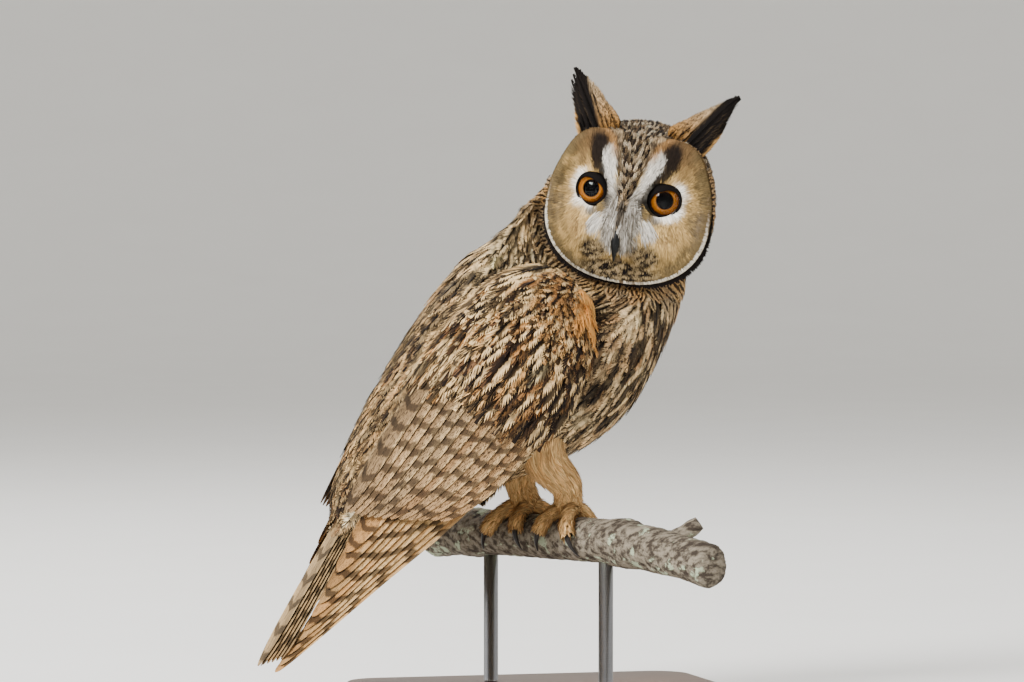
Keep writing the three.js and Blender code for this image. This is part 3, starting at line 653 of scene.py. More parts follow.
def hide(name):
    """The skin under the coat."""
    s = Shader(name)
    place = s.place()
    lumps = s.noise(place, 420, 4, 0.6)
    colour = s.mix(s.fit(lumps, 0.5, 0.1), s.attribute("Ground").outputs["Color"], INK)
    return s.surface(colour, 0.85, s.bump(lumps, 0.6, 0.0006), Specular_IOR_Level=0.15)


# Feathers.


class Shape:
    """One feather's outline as points (along, across) and triangles, shared by many feathers."""

    def __init__(self, along, across, faces, stations=5):
        self.along, self.across = np.array(along, float), np.array(across, float)
        self.faces = np.array(faces, int)
        place = np.clip(self.along, 0, 1) * (stations - 1)
        low = np.clip(np.floor(place).astype(int), 0, stations - 2)
        self.weights = np.zeros((len(self.along), stations))
        rows = np.arange(len(self.along))
        self.weights[rows, low] = 1 - (place - low)
        self.weights[rows, low + 1] = place - low


def contour_shape(barbs, seed, ragged=0.16, blunt=2.8):
    """A soft body feather: barbs side by side along a shaft, loose at their ends."""
    jitter = np.random.default_rng(seed)
    shaft = np.linspace(0.04, 0.93, barbs + 1)
    along, across, faces = list(shaft), [0.0] * (barbs + 1), []
    for side in (-1, 1):
        for i in range(barbs):
            low, high = shaft[i], shaft[i + 1]
            reach = 0.15 + 0.06 * (1 - low) + 0.6 * (high - low)
            tip = min(1.0, low + reach + 0.16 * ragged * jitter.uniform(-1, 1))
            outline = math.sqrt(max(0.015, 1 - max(0, (tip - 0.45) / 0.56) ** blunt)) * min(1, 0.62 + tip)
            outline *= 1 + ragged * jitter.uniform(-1, 0.4)
            middle = low + 0.55 * (tip - low)
            start = len(along)
            along += [middle - 0.3 * (high - low), min(0.99, middle + 0.75 * (high - low)), tip]
            across += [side * 0.62 * outline, side * 0.56 * outline, side * outline]
            faces += [[i, i + 1, start + 1], [i, start + 1, start], [start, start + 1, start + 2]]
    tip = len(along)
    along.append(1.0)
    across.append(0.0)
    faces += [[barbs, tip - 1, tip], [barbs, tip, tip - 1 - 3 * barbs]]
    return Shape(along, across, faces)


def strand_shape(segments=3):
    """A single hair-like barb, wide in its middle."""
    stops = np.linspace(0, 1, segments + 1)[:-1]
    wide = 0.55 + 0.45 * np.sin(math.pi * (stops + 0.2) / 1.2)
    along = np.concatenate([stops, stops, [1]])
    across = np.concatenate([-wide, wide, [0]])
    faces = []
    for i in range(segments - 1):
        faces += [[i, i + 1, i + 1 + segments], [i, i + 1 + segments, i + segments]]
    faces.append([segments - 1, 2 * segments, 2 * segments - 1])
    return Shape(along, across, faces)


def vane_shape(rows, columns, blunt):
    """A firm feather as a fine grid."""
    along = np.sin(np.linspace(0, math.pi / 2, rows)) ** 0.9
    taper = np.sqrt(np.clip(1 - np.clip((along - 0.5) / 0.5, 0, 1) ** blunt, 0.012, 1))
    wide = (0.55 + 0.45 * np.minimum(1, along / 0.35)) * taper
    quads = grid_quads(rows, columns)
    faces = np.concatenate([quads[:, [0, 3, 2]], quads[:, [0, 2, 1]]])
    return Shape(np.repeat(along, columns), (wide[:, None] * np.linspace(-1, 1, columns)).ravel(), faces)


def by_vertex(values, vertices):
    """Values by feather, or by vertex already, as one list by vertex."""
    values = np.repeat(values[:, None], vertices, 1) if values.ndim == 2 else values
    return values.reshape(-1, 4)


class Coat:
    """Many feathers as one mesh."""

    def __init__(self):
        self.lists = {key: [] for key in ("points", "faces", "vane", "bake", "ground", "marks")}
        self.count = 0

    def add(self, shape, points, roots, ground, marks=None):
        """points is (feathers, vertices, 3) and roots are places on the unwrap.

        ground and marks are by feather or by vertex. The number in Ground's alpha is drawn by feather."""
        feathers, vertices = points.shape[:2]
        start = self.count + np.arange(feathers)[:, None, None] * vertices
        vane = np.stack([shape.across * 0.5 + 0.5, shape.along], -1)
        number = rng.random(feathers).reshape((-1,) + (1,) * (ground.ndim - 1))
        ground = np.concatenate([ground, np.broadcast_to(number, ground.shape[:-1] + (1,))], -1)
        marks = np.zeros((feathers, 4)) if marks is None else marks
        parts = {
            "points": points.reshape(-1, 3), "faces": (shape.faces + start).reshape(-1, 3),
            "vane": np.tile(vane, (feathers, 1)),
            "bake": (roots[:, None] + (vane - 0.5) * BAKE_PATCH).reshape(-1, 2),
            "ground": by_vertex(ground, vertices), "marks": by_vertex(marks, vertices),
        }
        for key, part in parts.items():
            self.lists[key].append(part)
        self.count += feathers * vertices

    def made(self, name, material, slot, *nodes):
        points, faces, vane, bake, ground, marks = (np.concatenate(v) for v in self.lists.values())
        maps, values = {"Vane": vane, "OFBake": bake % 1.0}, {"Ground": ground, "Marks": marks}
        return owl_piece(name, points, faces, material, slot, *nodes, maps=maps, values=values)


def cling(points):
    """The nearest places on the coat's form, and the way out of it there."""
    spots, outs = np.empty_like(points), np.empty_like(points)
    for i, p in enumerate(points):
        spot, out, _, _ = FORM.find_nearest(p)
        spots[i], outs[i] = spot, out
    return spots, outs


# Shares of the way along a feather at which its line has a stop.
STOPS = np.linspace(0, 1, 5)


def trace(roots, ways, lengths, stations=5):
    """Lines that start at roots and run along the coat's form, with the way out and along at each stop."""
    spots, outs = cling(roots)
    all_spots, all_outs, all_ways = [spots], [outs], []
    way = unit(ways - outs * np.sum(ways * outs, -1, keepdims=True))
    all_ways.append(way)
    for _ in range(stations - 1):
        spots, outs = cling(spots + way * (lengths / (stations - 1))[:, None])
        outs = unit(outs + all_outs[-1] * 0.6)
        way = unit(way - outs * np.sum(way * outs, -1, keepdims=True))
        all_spots.append(spots)
        all_outs.append(outs)
        all_ways.append(way)
    return (np.stack(v, 1) for v in (all_spots, all_outs, all_ways))


def laid(shape, spots, outs, ways, widths, low, high, cup=0.12, roll=0.0):
    """The points of feathers laid along traced lines. low and high are the lift at root and tip."""
    base = np.einsum("vk,fkc->fvc", shape.weights, spots)
    out = unit(np.einsum("vk,fkc->fvc", shape.weights, outs))
    way = unit(np.einsum("vk,fkc->fvc", shape.weights, ways))
    side = np.cross(out, way)
    half = shape.across[None] * np.asarray(widths)[:, None] / 2
    s = np.clip(shape.along, 0, 1)[None]
    low, high = np.broadcast_to(low, len(widths))[:, None], np.broadcast_to(high, len(widths))[:, None]
    rise = low + (high - low) * s ** 0.8 - np.abs(half) * cup * (0.4 + s)
    rise = rise + half * np.broadcast_to(roll, len(widths))[:, None]
    return base + side * half[..., None] + out * rise[..., None]


def scattered(points, faces, count):
    """Random places spread evenly over a mesh of quads."""
    a, b, c, d = (points[faces[:, k]] for k in range(4))
    areas = np.linalg.norm(np.cross(c - a, d - b), axis=1) / 2
    pick = rng.choice(len(faces), count, p=areas / areas.sum())
    u, v = rng.random((2, count, 1))
    return (a[pick] * (1 - u) + b[pick] * u) * (1 - v) + (d[pick] * (1 - u) + c[pick] * u) * v


def thinned(points, spacing, ways, stretch):
    """Keeps points that are at least their spacing apart, or more along the lie of the coat."""
    cell = float((spacing * stretch).max())
    grid, chosen = {}, []
    shorten = 1 - 1 / stretch**2
    around = list(itertools.product((-1, 0, 1), repeat=3))
    cells = np.floor(points / cell).astype(int).tolist()
    for i, ((x, y, z), p, w, gap) in enumerate(zip(cells, points.tolist(), ways.tolist(), spacing.tolist())):
        boxes = (grid.get((x + dx, y + dy, z + dz), ()) for dx, dy, dz in around)
        if not any(crowded(p, w, gap, shorten, box) for box in boxes):
            grid.setdefault((x, y, z), []).append(p)
            chosen.append(i)
    return np.array(chosen)


def crowded(p, way, gap, shorten, others):
    """Whether a point is nearer to one of the others than its gap."""
    for q in others:
        d = (p[0] - q[0], p[1] - q[1], p[2] - q[2])
        run = d[0] * way[0] + d[1] * way[1] + d[2] * way[2]
        if d[0] * d[0] + d[1] * d[1] + d[2] * d[2] - shorten * run * run < gap * gap:
            return True
    return False


# The markings of the bird.


def band(aside, above, stops):
    """How far places are from a line through (aside, above, half width), counted in half widths."""
    nearest = np.full(np.shape(aside), 1e9)
    for (a0, z0, w0), (a1, z1, w1) in zip(stops, stops[1:]):
        t = ((aside - a0) * (a1 - a0) + (above - z0) * (z1 - z0)) / ((a1 - a0) ** 2 + (z1 - z0) ** 2)
        t = np.clip(t, 0, 1)
        gap = np.hypot(aside - lerp(a0, a1, t), above - lerp(z0, z1, t)) / lerp(w0, w1, t)
        nearest = np.minimum(nearest, gap)
    return nearest


# Lines of the face's markings: places aside from and above the middle of the eyes, and half widths.
LINES = {
    "brow": [
        (6.6, -4, 1.3), (7.6, 0, 1.9), (9.2, 5, 2.8), (11, 10, 3.8), (12.8, 15, 4.6), (14, 20.5, 4),
        (14.4, 23, 2.6),
    ],
    "eye": [
        (10.2, -5, 1), (10.9, -1, 1.4), (12.6, 4.4, 1.8), (15.8, 9.8, 2.2), (19.4, 13.4, 2.8),
        (21.2, 18.5, 3.6), (20.4, 26, 5),
    ],
    "corner": [(8.8, -3, 2.6), (10.6, -6.8, 3.9), (13.5, -10.4, 3.3), (18.5, -12.4, 2.4)],
    "flare": [(9, -11, 1.6), (12.8, -15.8, 2.6), (17, -21, 2.2)],
}
# Half the width of the mottled wedge on the forehead, at heights above the middle of the eyes.
WEDGE = [
    [-20, -14, -10, -5, 0, 5, 10, 20, 25, 30, 36, 44],
    [0.1, 1.2, 1.9, 2.6, 3.4, 4.5, 5.7, 8.5, 9.6, 12, 20, 34],
]


def wedge_width(z):
    return np.interp(z, *WEDGE)


def face_colour(points):
    """The colour of the face at points of the head's frame."""
    y, z = points[..., 1], points[..., 2]
    a = np.abs(y)
    share, _ = disc_place(y, z)
    from_eye = np.hypot(a - EYE["aside"], z)
    bearing = np.arctan2(z, a - EYE["aside"])
    fine, soft = ripple(points, 1.3, 5), ripple(points, 5, 6)
    speckled = np.clip(0.12 + 2.2 * ripple(points, 2.2, 9), 0, 1)
    hairs = ripple(np.stack([a + 0.55 * z, 0.16 * (z - a), 0 * z], -1), 0.7, 10)
    half = wedge_width(z)

    def spot(aside, above, wide, high):
        return bell(np.hypot((a - aside) / wide, (z - above) / high), 1.0)

    def line(name, waver, low, high):
        return step(band(a, z, LINES[name]) + waver * fine, low, high)

    outer = step(share + 0.07 * soft + 0.05 * fine, 0.72, 0.94)
    above_eyes = step(z + 3 * soft, 9, 20) * step(a + 2 * soft, 40, 25)
    ring = step(from_eye + 1.2 * soft, 15.5, 9.8) * step(np.cos(bearing + 0.45), -0.1, 0.45)
    grey = layered(srgb(178, 170, 156), (srgb(92, 83, 72), 0.42 + 0.5 * fine))
    lores = step(a + 0.8 * soft, 12.5, 9.5) * step(z, 10, 2) * step(z, -35, -30)
    frost = layered(srgb(214, 208, 196), (srgb(104, 95, 82), 0.62 + 0.3 * fine + 0.22 * hairs - 0.035 * z))
    dark = np.maximum(line("eye", 0.16, 1.5, 0.7), 0.8 * line("corner", 0.2, 1.4, 0.5))
    jowl = np.maximum(spot(14.5, -32.5, 7, 6), spot(0, -42.5, 19, 6))
    wedge = mixed(srgb(34, 26, 20), srgb(150, 128, 98), speckled + 0.15)
    return layered(
        srgb(222, 186, 120),
        (srgb(172, 140, 86), step(share + 0.08 * soft, 0.36, 0.74)),
        (srgb(82, 69, 45), 0.92 * outer),
        (srgb(96, 72, 46), 0.8 * above_eyes),
        (srgb(98, 84, 66), 0.75 * spot(40, -11, 5, 11) * (0.7 + 0.6 * fine)),
        (WHITE, 0.9 * ring),
        (BROWN, 0.75 * spot(24, -21, 7, 6) * (0.5 + 0.8 * fine)),
        (grey, lores),
        (WHITE, np.clip(0.2 + 0.9 * hairs, 0, 0.6) * line("flare", 0.4, 2.0, 0.4)),
        (frost, line("brow", 0.14, 1.25, 0.8)),
        (INK, 0.97 * dark),
        (mixed(INK * 0.6, srgb(150, 128, 92), speckled), 2.6 * jowl - 0.2),
        (srgb(160, 118, 72), 0.7 * bell(a - half - 2, 2.6) * step(z, 16, 22)),
        (wedge, step(a + 0.5 * fine, half + 0.6, half - 0.5)),
        (INK, 0.8 * bell(a - half - 0.2, 0.8) * step(z, -12, -2)),
    )


def head_marks(points):
    """Ground and marks of the head's small feathers outside the disc, at points of the head's frame."""
    x, z = points[:, 0], points[:, 2]
    soft = ripple(points, 7, 12)
    crown, behind = step(z, 15, 40), step(x, 0, -25) * step(z, 30, 0)
    ground = layered(GREY_BROWN, (BUFF, 0.45 + 0.5 * soft - 0.2 * crown), (CREAM, 0.5 * behind))
    marks = np.stack([0.4 + 0.12 * soft, 0.35 + 0 * x, 0.6 + 0 * x, 0.15 + 0 * x], -1)
    return ground, marks


# The shades that are mixed over the crown.
PEPPER = np.array([
    srgb(22, 17, 14), srgb(40, 31, 24), srgb(96, 78, 56), srgb(150, 130, 102), srgb(186, 168, 140),
])


def body_marks(points, along, turn):
    """Ground and marks of the torso's and the neck's feathers, with painted shade where the wing meets the
    breast.
    """
    soft, quick = ripple(points, 14, 21), ripple(points, 5, 22)
    mirrored = np.stack([points[..., 0], np.abs(points[..., 1]), points[..., 2]], -1)

    def near(middle, size):
        return bell(np.linalg.norm((mirrored - middle) / size, axis=-1), 1.0)

    nape, bend = near([-12, 22, 152], [28, 22, 24]), near([8, 45, 118], [9, 12, 15])
    # A dark patch of painted shade in the gap between the wing and the breast.
    wing_gap_shade = near([16, 46, 109], [14, 17, 34])
    back = step(np.cos(turn) + 0.15 * soft, -0.3, 0.25)
    low, vent = step(along, 0.4, 0.62) * (1 - back), step(along, 0.72, 0.9) * (1 - back)
    mantle = layered(
        srgb(226, 186, 128), (srgb(142, 102, 62), 0.45 + 0.7 * quick), (srgb(112, 86, 60), 0.6 * soft))
    ground = layered(
        srgb(236, 202, 150), (srgb(186, 148, 104), 0.4 + 0.6 * quick), (mantle, back),
        (srgb(246, 216, 164), np.minimum(1.5 * nape, 0.95)), (srgb(222, 190, 142), 0.7 * low),
        (srgb(232, 206, 164), vent), (ORANGE_BUFF, 1.3 * bend),
        (srgb(66, 50, 36), np.minimum(1.5 * wing_gap_shade, 0.9)))
    bars = lerp(0.35, 0.45, back) + 0.25 * low - 0.3 * nape
    mottle = lerp(0.3, 0.55, back) + 0.15 * soft - 0.4 * nape - 0.2 * vent
    calm = np.clip(1 - 1.4 * bend, 0, 1)
    marks = np.stack([0.1 + 0.05 * quick, bars * calm, np.clip(mottle, 0, 1) * calm, 0.2 * back], -1)
    return ground, marks


def long_streaks(lane, points, wide, seed):
    """How dark places are by streaks that run on from feather to feather.

    lane counts the streaks across the coat, and wide is half the width of each as a share of its lane."""
    lane = lane + 0.34 * ripple(points, 17, seed) + 0.07 * ripple(points, 1.7, seed + 1)
    line = np.floor(lane)
    apart = points + line[..., None] * np.array([31.0, 17.0, 23.0])
    swell = 1 + 0.75 * ripple(apart, 12, seed + 2)
    return step(wide * swell - np.abs(lane - line - 0.5), -0.06, 0.06)


# The coat's form: one even skin over torso, head, wing cores and the root of the tail.


def wing_core(side, rows=26, columns=22):
    """The folded wing's form under its upper feathers."""
    t, a = np.meshgrid(np.linspace(0, WING_CORE, rows), np.linspace(-0.95, 0.95, columns), indexing="ij")
    s = t / WING_CORE
    upper, _ = wing_spot(side, t, a, lerp(1, -1.4, s**2) - 0.7 * a**4)
    lower, _ = wing_spot(side, t, a, lerp(-15, -6, s**2) - 0.7 * a**4)
    return loft(np.concatenate([upper, lower[:, ::-1]], axis=1))


TAIL_WAY = -turned("y", -TAIL["lie"])[:, 0]
TAIL_OUT = over(TAIL_WAY)


def tail_root():
    """The tail's form under the feathers of the rump."""
    share = np.array([0, 0.2, 0.38, 0.5, 0.56])
    wide, deep = np.array([[22, 21, 18, 16, 14], [15, 12, 6, 2, 0.9]])
    line = np.array(TAIL["root"]) + TAIL_WAY * (share * TAIL["length"])[:, None]
    return loft(line[:, None] + round_middle(LEFTWARD, TAIL_OUT, circle(24), wide[:, None], deep[:, None]))


def torso_rings(rows=60, sides=64):
    """Rings of points round the torso."""
    return torso_spot(*np.meshgrid(np.linspace(0, 1, rows), circle(sides), indexing="ij"))


def limb_forms():
    """The legs and the feathered feet."""
    forms = []
    share, s = np.linspace(0, 1, 14), np.linspace(0, 1, 18)
    for side in (-1, 1):
        forms.append(loft(tube(leg_line(side, 14), leg_radius(share), 24)))
        turn = np.linspace(0.15, math.pi - 0.15, 12)
        hub = foot_place(side) + UP * 1.2
        forms.append(loft(tube(hub + UP * (-6.2 * np.cos(turn))[:, None], 8.4 * np.sin(turn), 20)))
        for toe in TOES:
            forms.append(loft(tube(toe_line(side, toe, 18), toe_radius(s) * np.where(s > 0.97, 0.6, 1), 16)))
    return forms


def behind_disc(points):
    """The body's points, drawn back from the space in front of the facial disc and round its rim."""
    q = to_head(points)
    share, _ = disc_place(q[..., 1], q[..., 2])
    limit = CLEAR["back"] + np.maximum(share - CLEAR["share"], 0) * CLEAR["slope"]
    q[..., 0] = np.minimum(q[..., 0], limit)
    return from_head(q)


body_form = together([
    loft(behind_disc(torso_rings())), loft(head_rings()), wing_core(-1), wing_core(1), tail_root(),
])
FORM_POINTS, _, FORM_QUADS = remeshed(*body_form, 1.5, 3)
FORM = BVHTree.FromPolygons(FORM_POINTS.tolist(), FORM_QUADS.tolist())


def head_share(points):
    """1 on the head and 0 off it, with a soft change at the neck."""
    q = to_head(points)
    level = np.sqrt(((q[:, 0] + 8) / 46) ** 2 + (q[:, 1] / 53) ** 2 + ((q[:, 2] + 4) / 52) ** 2)
    return step(level, 1.12, 1.0)


def near_wing(points, batch=2000):
    """How far points are from the part of a wing that its own feathers cover, and how far along it."""
    best, place = np.full(len(points), 1e9), np.zeros(len(points))
    t, a = np.meshgrid(np.linspace(0, WING_CORE, 40), np.linspace(-0.95, 0.95, 24), indexing="ij")
    for side in (-1, 1):
        grid = wing_spot(side, t, a, 0)[0].reshape(-1, 3)
        for start in range(0, len(points), batch):
            part = slice(start, start + batch)
            gap = np.linalg.norm(points[part, None] - grid, axis=-1)
            near, k = gap.min(axis=1), np.argmin(gap, axis=1)
            better = near < best[part]
            best[part][better] = near[better]
            place[part][better] = t.ravel()[k][better]
    return best, place


def skin():
    """The skin under the coat: the coat's form drawn in, and drawn behind the eyes."""
    points, outs, quads = remeshed(*together([body_form] + limb_forms()), 1.9, 3)
    q = to_head(points)
    on_head = head_share(points)
    in_face = on_head * step(q[:, 0], 8, 16)
    low = step(points[:, 2], 40, 26) * step(points[:, 0], -60, -40)
    depth = lerp(2.8, 1.6, on_head)
    depth = lerp(depth, 0.9, np.maximum(in_face, low))
    depth = lerp(depth, 0.5, step(points[:, 2], 12, 6) * low)
    along, turn, _ = torso_place(points)
    ground, marks = body_marks(points, along, turn)
    # The skin has the coat's colours, darkened: partly the darker down and partly painted shade that falls
    # between the feathers.
    ground = mixed(ground, INK, 0.3 + 0.3 * marks[:, 0])
    ground = mixed(ground, face_colour(q) * 0.6, in_face)
    ground = mixed(ground, BUFF * 0.6, low)
    points = points - outs * depth[:, None]
    for side in (-1, 1):
        centre, ahead, _ = eye_frame(side)
        offset = to_head(points) - centre
        distance = np.linalg.norm(offset, axis=1)
        angle = np.degrees(np.arccos(np.clip(offset @ ahead / distance, -1, 1)))
        inside = (distance < EYE["radius"] + SOCKET["reach"]) & (angle < EYE["opening"] + SOCKET["spread"])
        drawn = centre + offset / distance[:, None] * (EYE["radius"] - SOCKET["depth"])
        points[inside] = from_head(drawn[inside])
    values = {"Ground": np.concatenate([ground, np.ones((len(points), 1))], -1)}
    piece = mesh_object("skin", in_row(points), quads, hide("skin_under_coat"), None, values)
    nodes = ["torso", "neck", "head", "leg_left", "leg_right", "foot_left", "foot_right"]
    return placed(piece, "body_plumage", *nodes)


# The coat.


def varied(ground, amount=0.12):
    """Colours with a small change by feather."""
    change = 1 + amount * rng.normal(size=len(ground))[:, None]
    warm = 1 + 0.05 * rng.normal(size=len(ground))[:, None] * np.array([1, 0, -1])
    return np.clip(ground * change * warm, 0.002, 0.95)


def coat_places(count):
    """Places for the contour feathers, and what each is on."""
    spots = scattered(FORM_POINTS, FORM_QUADS, count)
    spots = spots[(spots - np.array(TAIL["root"])) @ TAIL_WAY <= 30]
    q = to_head(spots)
    share, _ = disc_place(q[:, 1], q[:, 2])
    on_head = head_share(spots)
    in_disc = (q[:, 0] > HEAD["rim"] - 2.5) & (share < 1.0) & (on_head > 0.5)
    in_wedge = in_disc & (np.abs(q[:, 1]) < wedge_width(q[:, 2]) - 0.2) & (q[:, 2] > -5)
    return picked(~in_disc | in_wedge, spots, q, on_head, in_wedge)


def coat_flow(q, on_head, way):
    """The way the coat lies: from the bill over the head and down the body to the tail."""
    _, angle = disc_place(q[:, 1], q[:, 2])
    radial = unit(np.stack([-0.55 + 0 * angle, np.cos(angle), np.sin(angle)], -1))
    backward = unit(np.array([-1, 0, -0.9]))
    upward = unit(np.stack([-0.4 + 0 * angle, q[:, 1] * 0.03, 1 + 0 * angle], -1))
    ruff = step(q[:, 0], HEAD["rim"] - 16, HEAD["rim"] - 5)
    head_way = lerp(backward, radial, ruff[:, None])
    top = step(q[:, 2], 18, 30) * step(q[:, 0], 5, 12)
    head_way = lerp(head_way, upward, top[:, None])
    return unit(lerp(way, head_way @ HEAD_TURN.T, on_head[:, None]))


# The body's coat: lengths along the torso, marks of the crown's feathers, and the long streaks round it.
COAT = {
    "length": [[0, 0.12, 0.3, 0.5, 0.75, 1], [13, 15, 19, 22, 23, 22]],
    "crown_marks": [0.0, 0.35, 0.85, 0], "streaks": 38, "streak_width": (0.27, 0.33),
}


def contour_coat():
    """The small feathers of the crown, head, breast and back, with the long streaks over them."""
    spots, q, on_head, in_wedge = coat_places(190000)
    along, turn, way = torso_place(spots)
    flow = coat_flow(q, on_head, way)
    crown = on_head * np.maximum(in_wedge, step(q[:, 2], 14, 24) * step(q[:, 0], -36, -22))
    length = np.interp(along, *COAT["length"])
    length = lerp(length, lerp(11, 8, step(q[:, 0], -4, 8)), on_head)
    length = lerp(length, 4.4, crown)
    keep = thinned(spots, length * lerp(0.165, 0.235, on_head), flow, 1.7)
    gap, wing_along = near_wing(spots[keep])
    keep = keep[(gap > 4.5) | (wing_along < 0.03)]
    spots, q, on_head, along, turn, flow, length, crown = picked(
        keep, spots, q, on_head, along, turn, flow, length, crown)
    n = len(length)
    flow = unit(flow + 0.06 * rng.normal(size=flow.shape))
    length = length * rng.uniform(0.85, 1.15, n)
    lines, line_outs, line_ways = trace(spots, flow, length)
    width = length * 0.46 * rng.uniform(0.9, 1.12, n)
    ground, marks = body_marks(spots, along, turn)
    head_ground, head_mark = head_marks(q)
    ground, marks = mixed(ground, head_ground, on_head), lerp(marks, head_mark, on_head[:, None])
    small = crown > 0.5
    ground[small] = PEPPER[rng.integers(0, len(PEPPER), n)][small]
    marks[small] = COAT["crown_marks"]
    ground = varied(ground, 0.1)
    on_top, back = on_head > 0.5, np.cos(turn) >= 0
    wide = lerp(*COAT["streak_width"], step(np.cos(turn), -0.3, 0.2))
    wide = lerp(wide, 0.07, step(along, 0.7, 0.9) * ~back) * (1 - on_head)
    round_torso = np.pi * (smooth(TORSO["depth"], along) + smooth(TORSO["left"], along)) / COAT["streaks"]
    low = lerp(-2.0, -1.2, on_head)
    high = lerp(0.7, 0.5, on_head) + 0.3 * rng.normal(size=n)
    roll = 0.06 * rng.normal(size=n)
    over_head = np.stack([0.5 + 0.16 * np.arctan2(q[:, 1], q[:, 0] + 8), 0.5 + q[:, 2] / 130], -1)
    round_body = np.stack([turn / (2 * math.pi) % 1.0, along], -1)
    bake = np.where(on_top[:, None], over_head, round_body)
    plain = [contour_shape(4, seed) for seed in range(3)]
    soft = [contour_shape(13, seed, 0.1) for seed in range(3, 7)]
    for name, chosen, choice in (
        ("coat_crown", small, plain), ("coat_head", on_top & ~small, soft),
        ("coat_breast", ~on_top & ~back, soft), ("coat_back", ~on_top & back, soft),
    ):
        coat = Coat()
        kind = rng.integers(0, len(choice), n)
        for k, shape in enumerate(choice):
            m = chosen & (kind == k)
            points = laid(shape, *picked(m, lines, line_outs, line_ways, width, low, high), 0.06, roll[m])
            lane = turn[m][:, None] * COAT["streaks"] / (2 * math.pi)
            lane = lane + shape.across * (width[m] / 2 / round_torso[m])[:, None]
            colour = mixed(ground[m][:, None], INK, 0.93 * long_streaks(lane, points, wide[m][:, None], 81))
            coat.add(shape, points, bake[m], colour, marks[m])
        coat.made(name, BODY_PLUMAGE, "body_plumage")


def round_eyes(line_y, line_z, reach=9.3):
    """Lines on the face, bent so that they run round the eyes."""
    side = np.sign(line_y[:, :1])
    off_y, off_z = line_y - side * EYE["aside"], line_z
    away = np.maximum(np.hypot(off_y, off_z), 1e-3)
    push = np.maximum(1, reach / away)
    return side * EYE["aside"] + off_y * push, off_z * push


def face_coat():
    """The hair-like feathers of the facial disc, which spread from the eyes and from between them."""
    k = np.arange(82000)
    y = (k * 0.7548776662 % 1 - 0.5) * 98
    z = (k * 0.5698402910 % 1 - 0.5) * 94 - 5
    share, angle = disc_place(y, z)
    a = np.abs(y)
    from_eye = np.hypot(a - EYE["aside"], z)
    bill = (a < 2.4) & (z < -26) & (z > -38)
    beyond_wedge = a > wedge_width(z) + np.where(z < 10, 0.3, -1.2) - 9 * (z < -5)
    keep = (share < 0.965) & (from_eye > 8.9) & ~bill & beyond_wedge
    y, z, share, angle, a, from_eye = picked(keep, y, z, share, angle, a, from_eye)
    side, n = np.sign(y), len(y)
    around_eye = unit(np.stack([y - side * EYE["aside"], z], -1))
    flow = unit(np.stack([side * (a * 1.1 + 1), z + 7], -1))
    flow = lerp(flow, around_eye, step(a + 0.12 * np.abs(z), 9, 15)[:, None])
    beside_bill = step(a, 13, 8) * step(z, -8, -14)
    flow = lerp(flow, np.stack([0.04 * y, -1 + 0 * y], -1), beside_bill[:, None])
    rim_way = np.stack([np.cos(angle), np.sin(angle)], -1)
    flow = unit(lerp(flow, rim_way, step(share, 0.6, 1.0)[:, None] * 0.6))
    flow = unit(flow + 0.1 * rng.normal(size=flow.shape))
    length = lerp(4.0, 8.5, step(from_eye, 9, 20)) * rng.uniform(0.75, 1.15, n)
    length = np.minimum(length, 2.2 + 42 * np.maximum(0.975 - share, 0))
    length = length * lerp(1, 0.5, step(z, -24, -28) * step(a, 24, 20))
    reach = length[:, None] * STOPS
    line_y, line_z = round_eyes(y[:, None] + flow[:, :1] * reach, z[:, None] + flow[:, 1:] * reach)
    width = rng.uniform(0.42, 0.8, n)
    high = 0.9 + 0.35 * rng.normal(size=n)
    for name, sign in SIDES.items():
        coat = Coat()
        m = side == sign
        head_strands(coat, line_y[m], line_z[m], width[m], -0.9, high[m])
        coat.made("coat_face_" + name, DOWN, "face_plumage")
    coat = Coat()
    plumes(coat)
    rim_row(coat)
    coat.made("coat_face_plumes", DOWN, "face_plumage")


def head_strands(coat, line_y, line_z, width, low, high, ground=None, sunk=0.0):
    """Adds strands along lines on the face, given in the head's frame. Their own colours are the face's."""
    shape = strand_shape(4)
    spots = np.stack([face_forward(line_y, line_z) - sunk, line_y, line_z], -1)
    aside = face_forward(line_y + 0.4, line_z) - face_forward(line_y - 0.4, line_z)
    above = face_forward(line_y, line_z + 0.4) - face_forward(line_y, line_z - 0.4)
    outs = unit(np.stack([0.8 + 0 * line_y, -aside, -above], -1))
    points = laid(shape, spots, outs, unit(np.gradient(spots, axis=1)), width, low, high, 0.0)
    n = len(line_y)
    if ground is None:
        tone = np.where(rng.random(n) < 0.1, 0.62, 1 + 0.15 * rng.normal(size=n))
        ground = face_colour(points + 0.5 * rng.normal(size=(n, 1, 3))) * tone[:, None, None]
    roots = np.stack([0.5 + line_y[:, 0] / 110, 0.5 + line_z[:, 0] / 110], -1)
    coat.add(shape, from_head(points), roots, np.clip(ground, 0.002, 0.95))


# Plumes of the face: number, angles from straight aside, places aside and above, lengths, bend, lifts and
# how grey they are. The places aside of the last ones are along the brow.
PLUMES = (
    (700, (-100, -74), (3.4, 9), (-18, 0), (7, 11), -0.08, (0.5, 1.5), 0.8),
    (360, (-76, -34), (8.5, 13), (-15, -9.5), (6, 11), -0.25, (0.8, 2.4), 0.3),
    (260, (-97, -83), (1.2, 3.4), (-19, -9), (6, 9), 0.0, (1.2, 2.6), 0.65),
    (70, (-96, -84), (0, 0.9), (-14, -3), (3, 5), 0.0, (1.2, 2.2), 1.6),
    (340, (-98, -84), (0.6, 4.0), (-25, -17), (4.5, 7.5), 0.0, (2.8, 4.4), 0.7),
    (420, (60, 74), None, (2, 17), (5, 7.5), 0.0, (0.5, 1.5), 0.3),
)


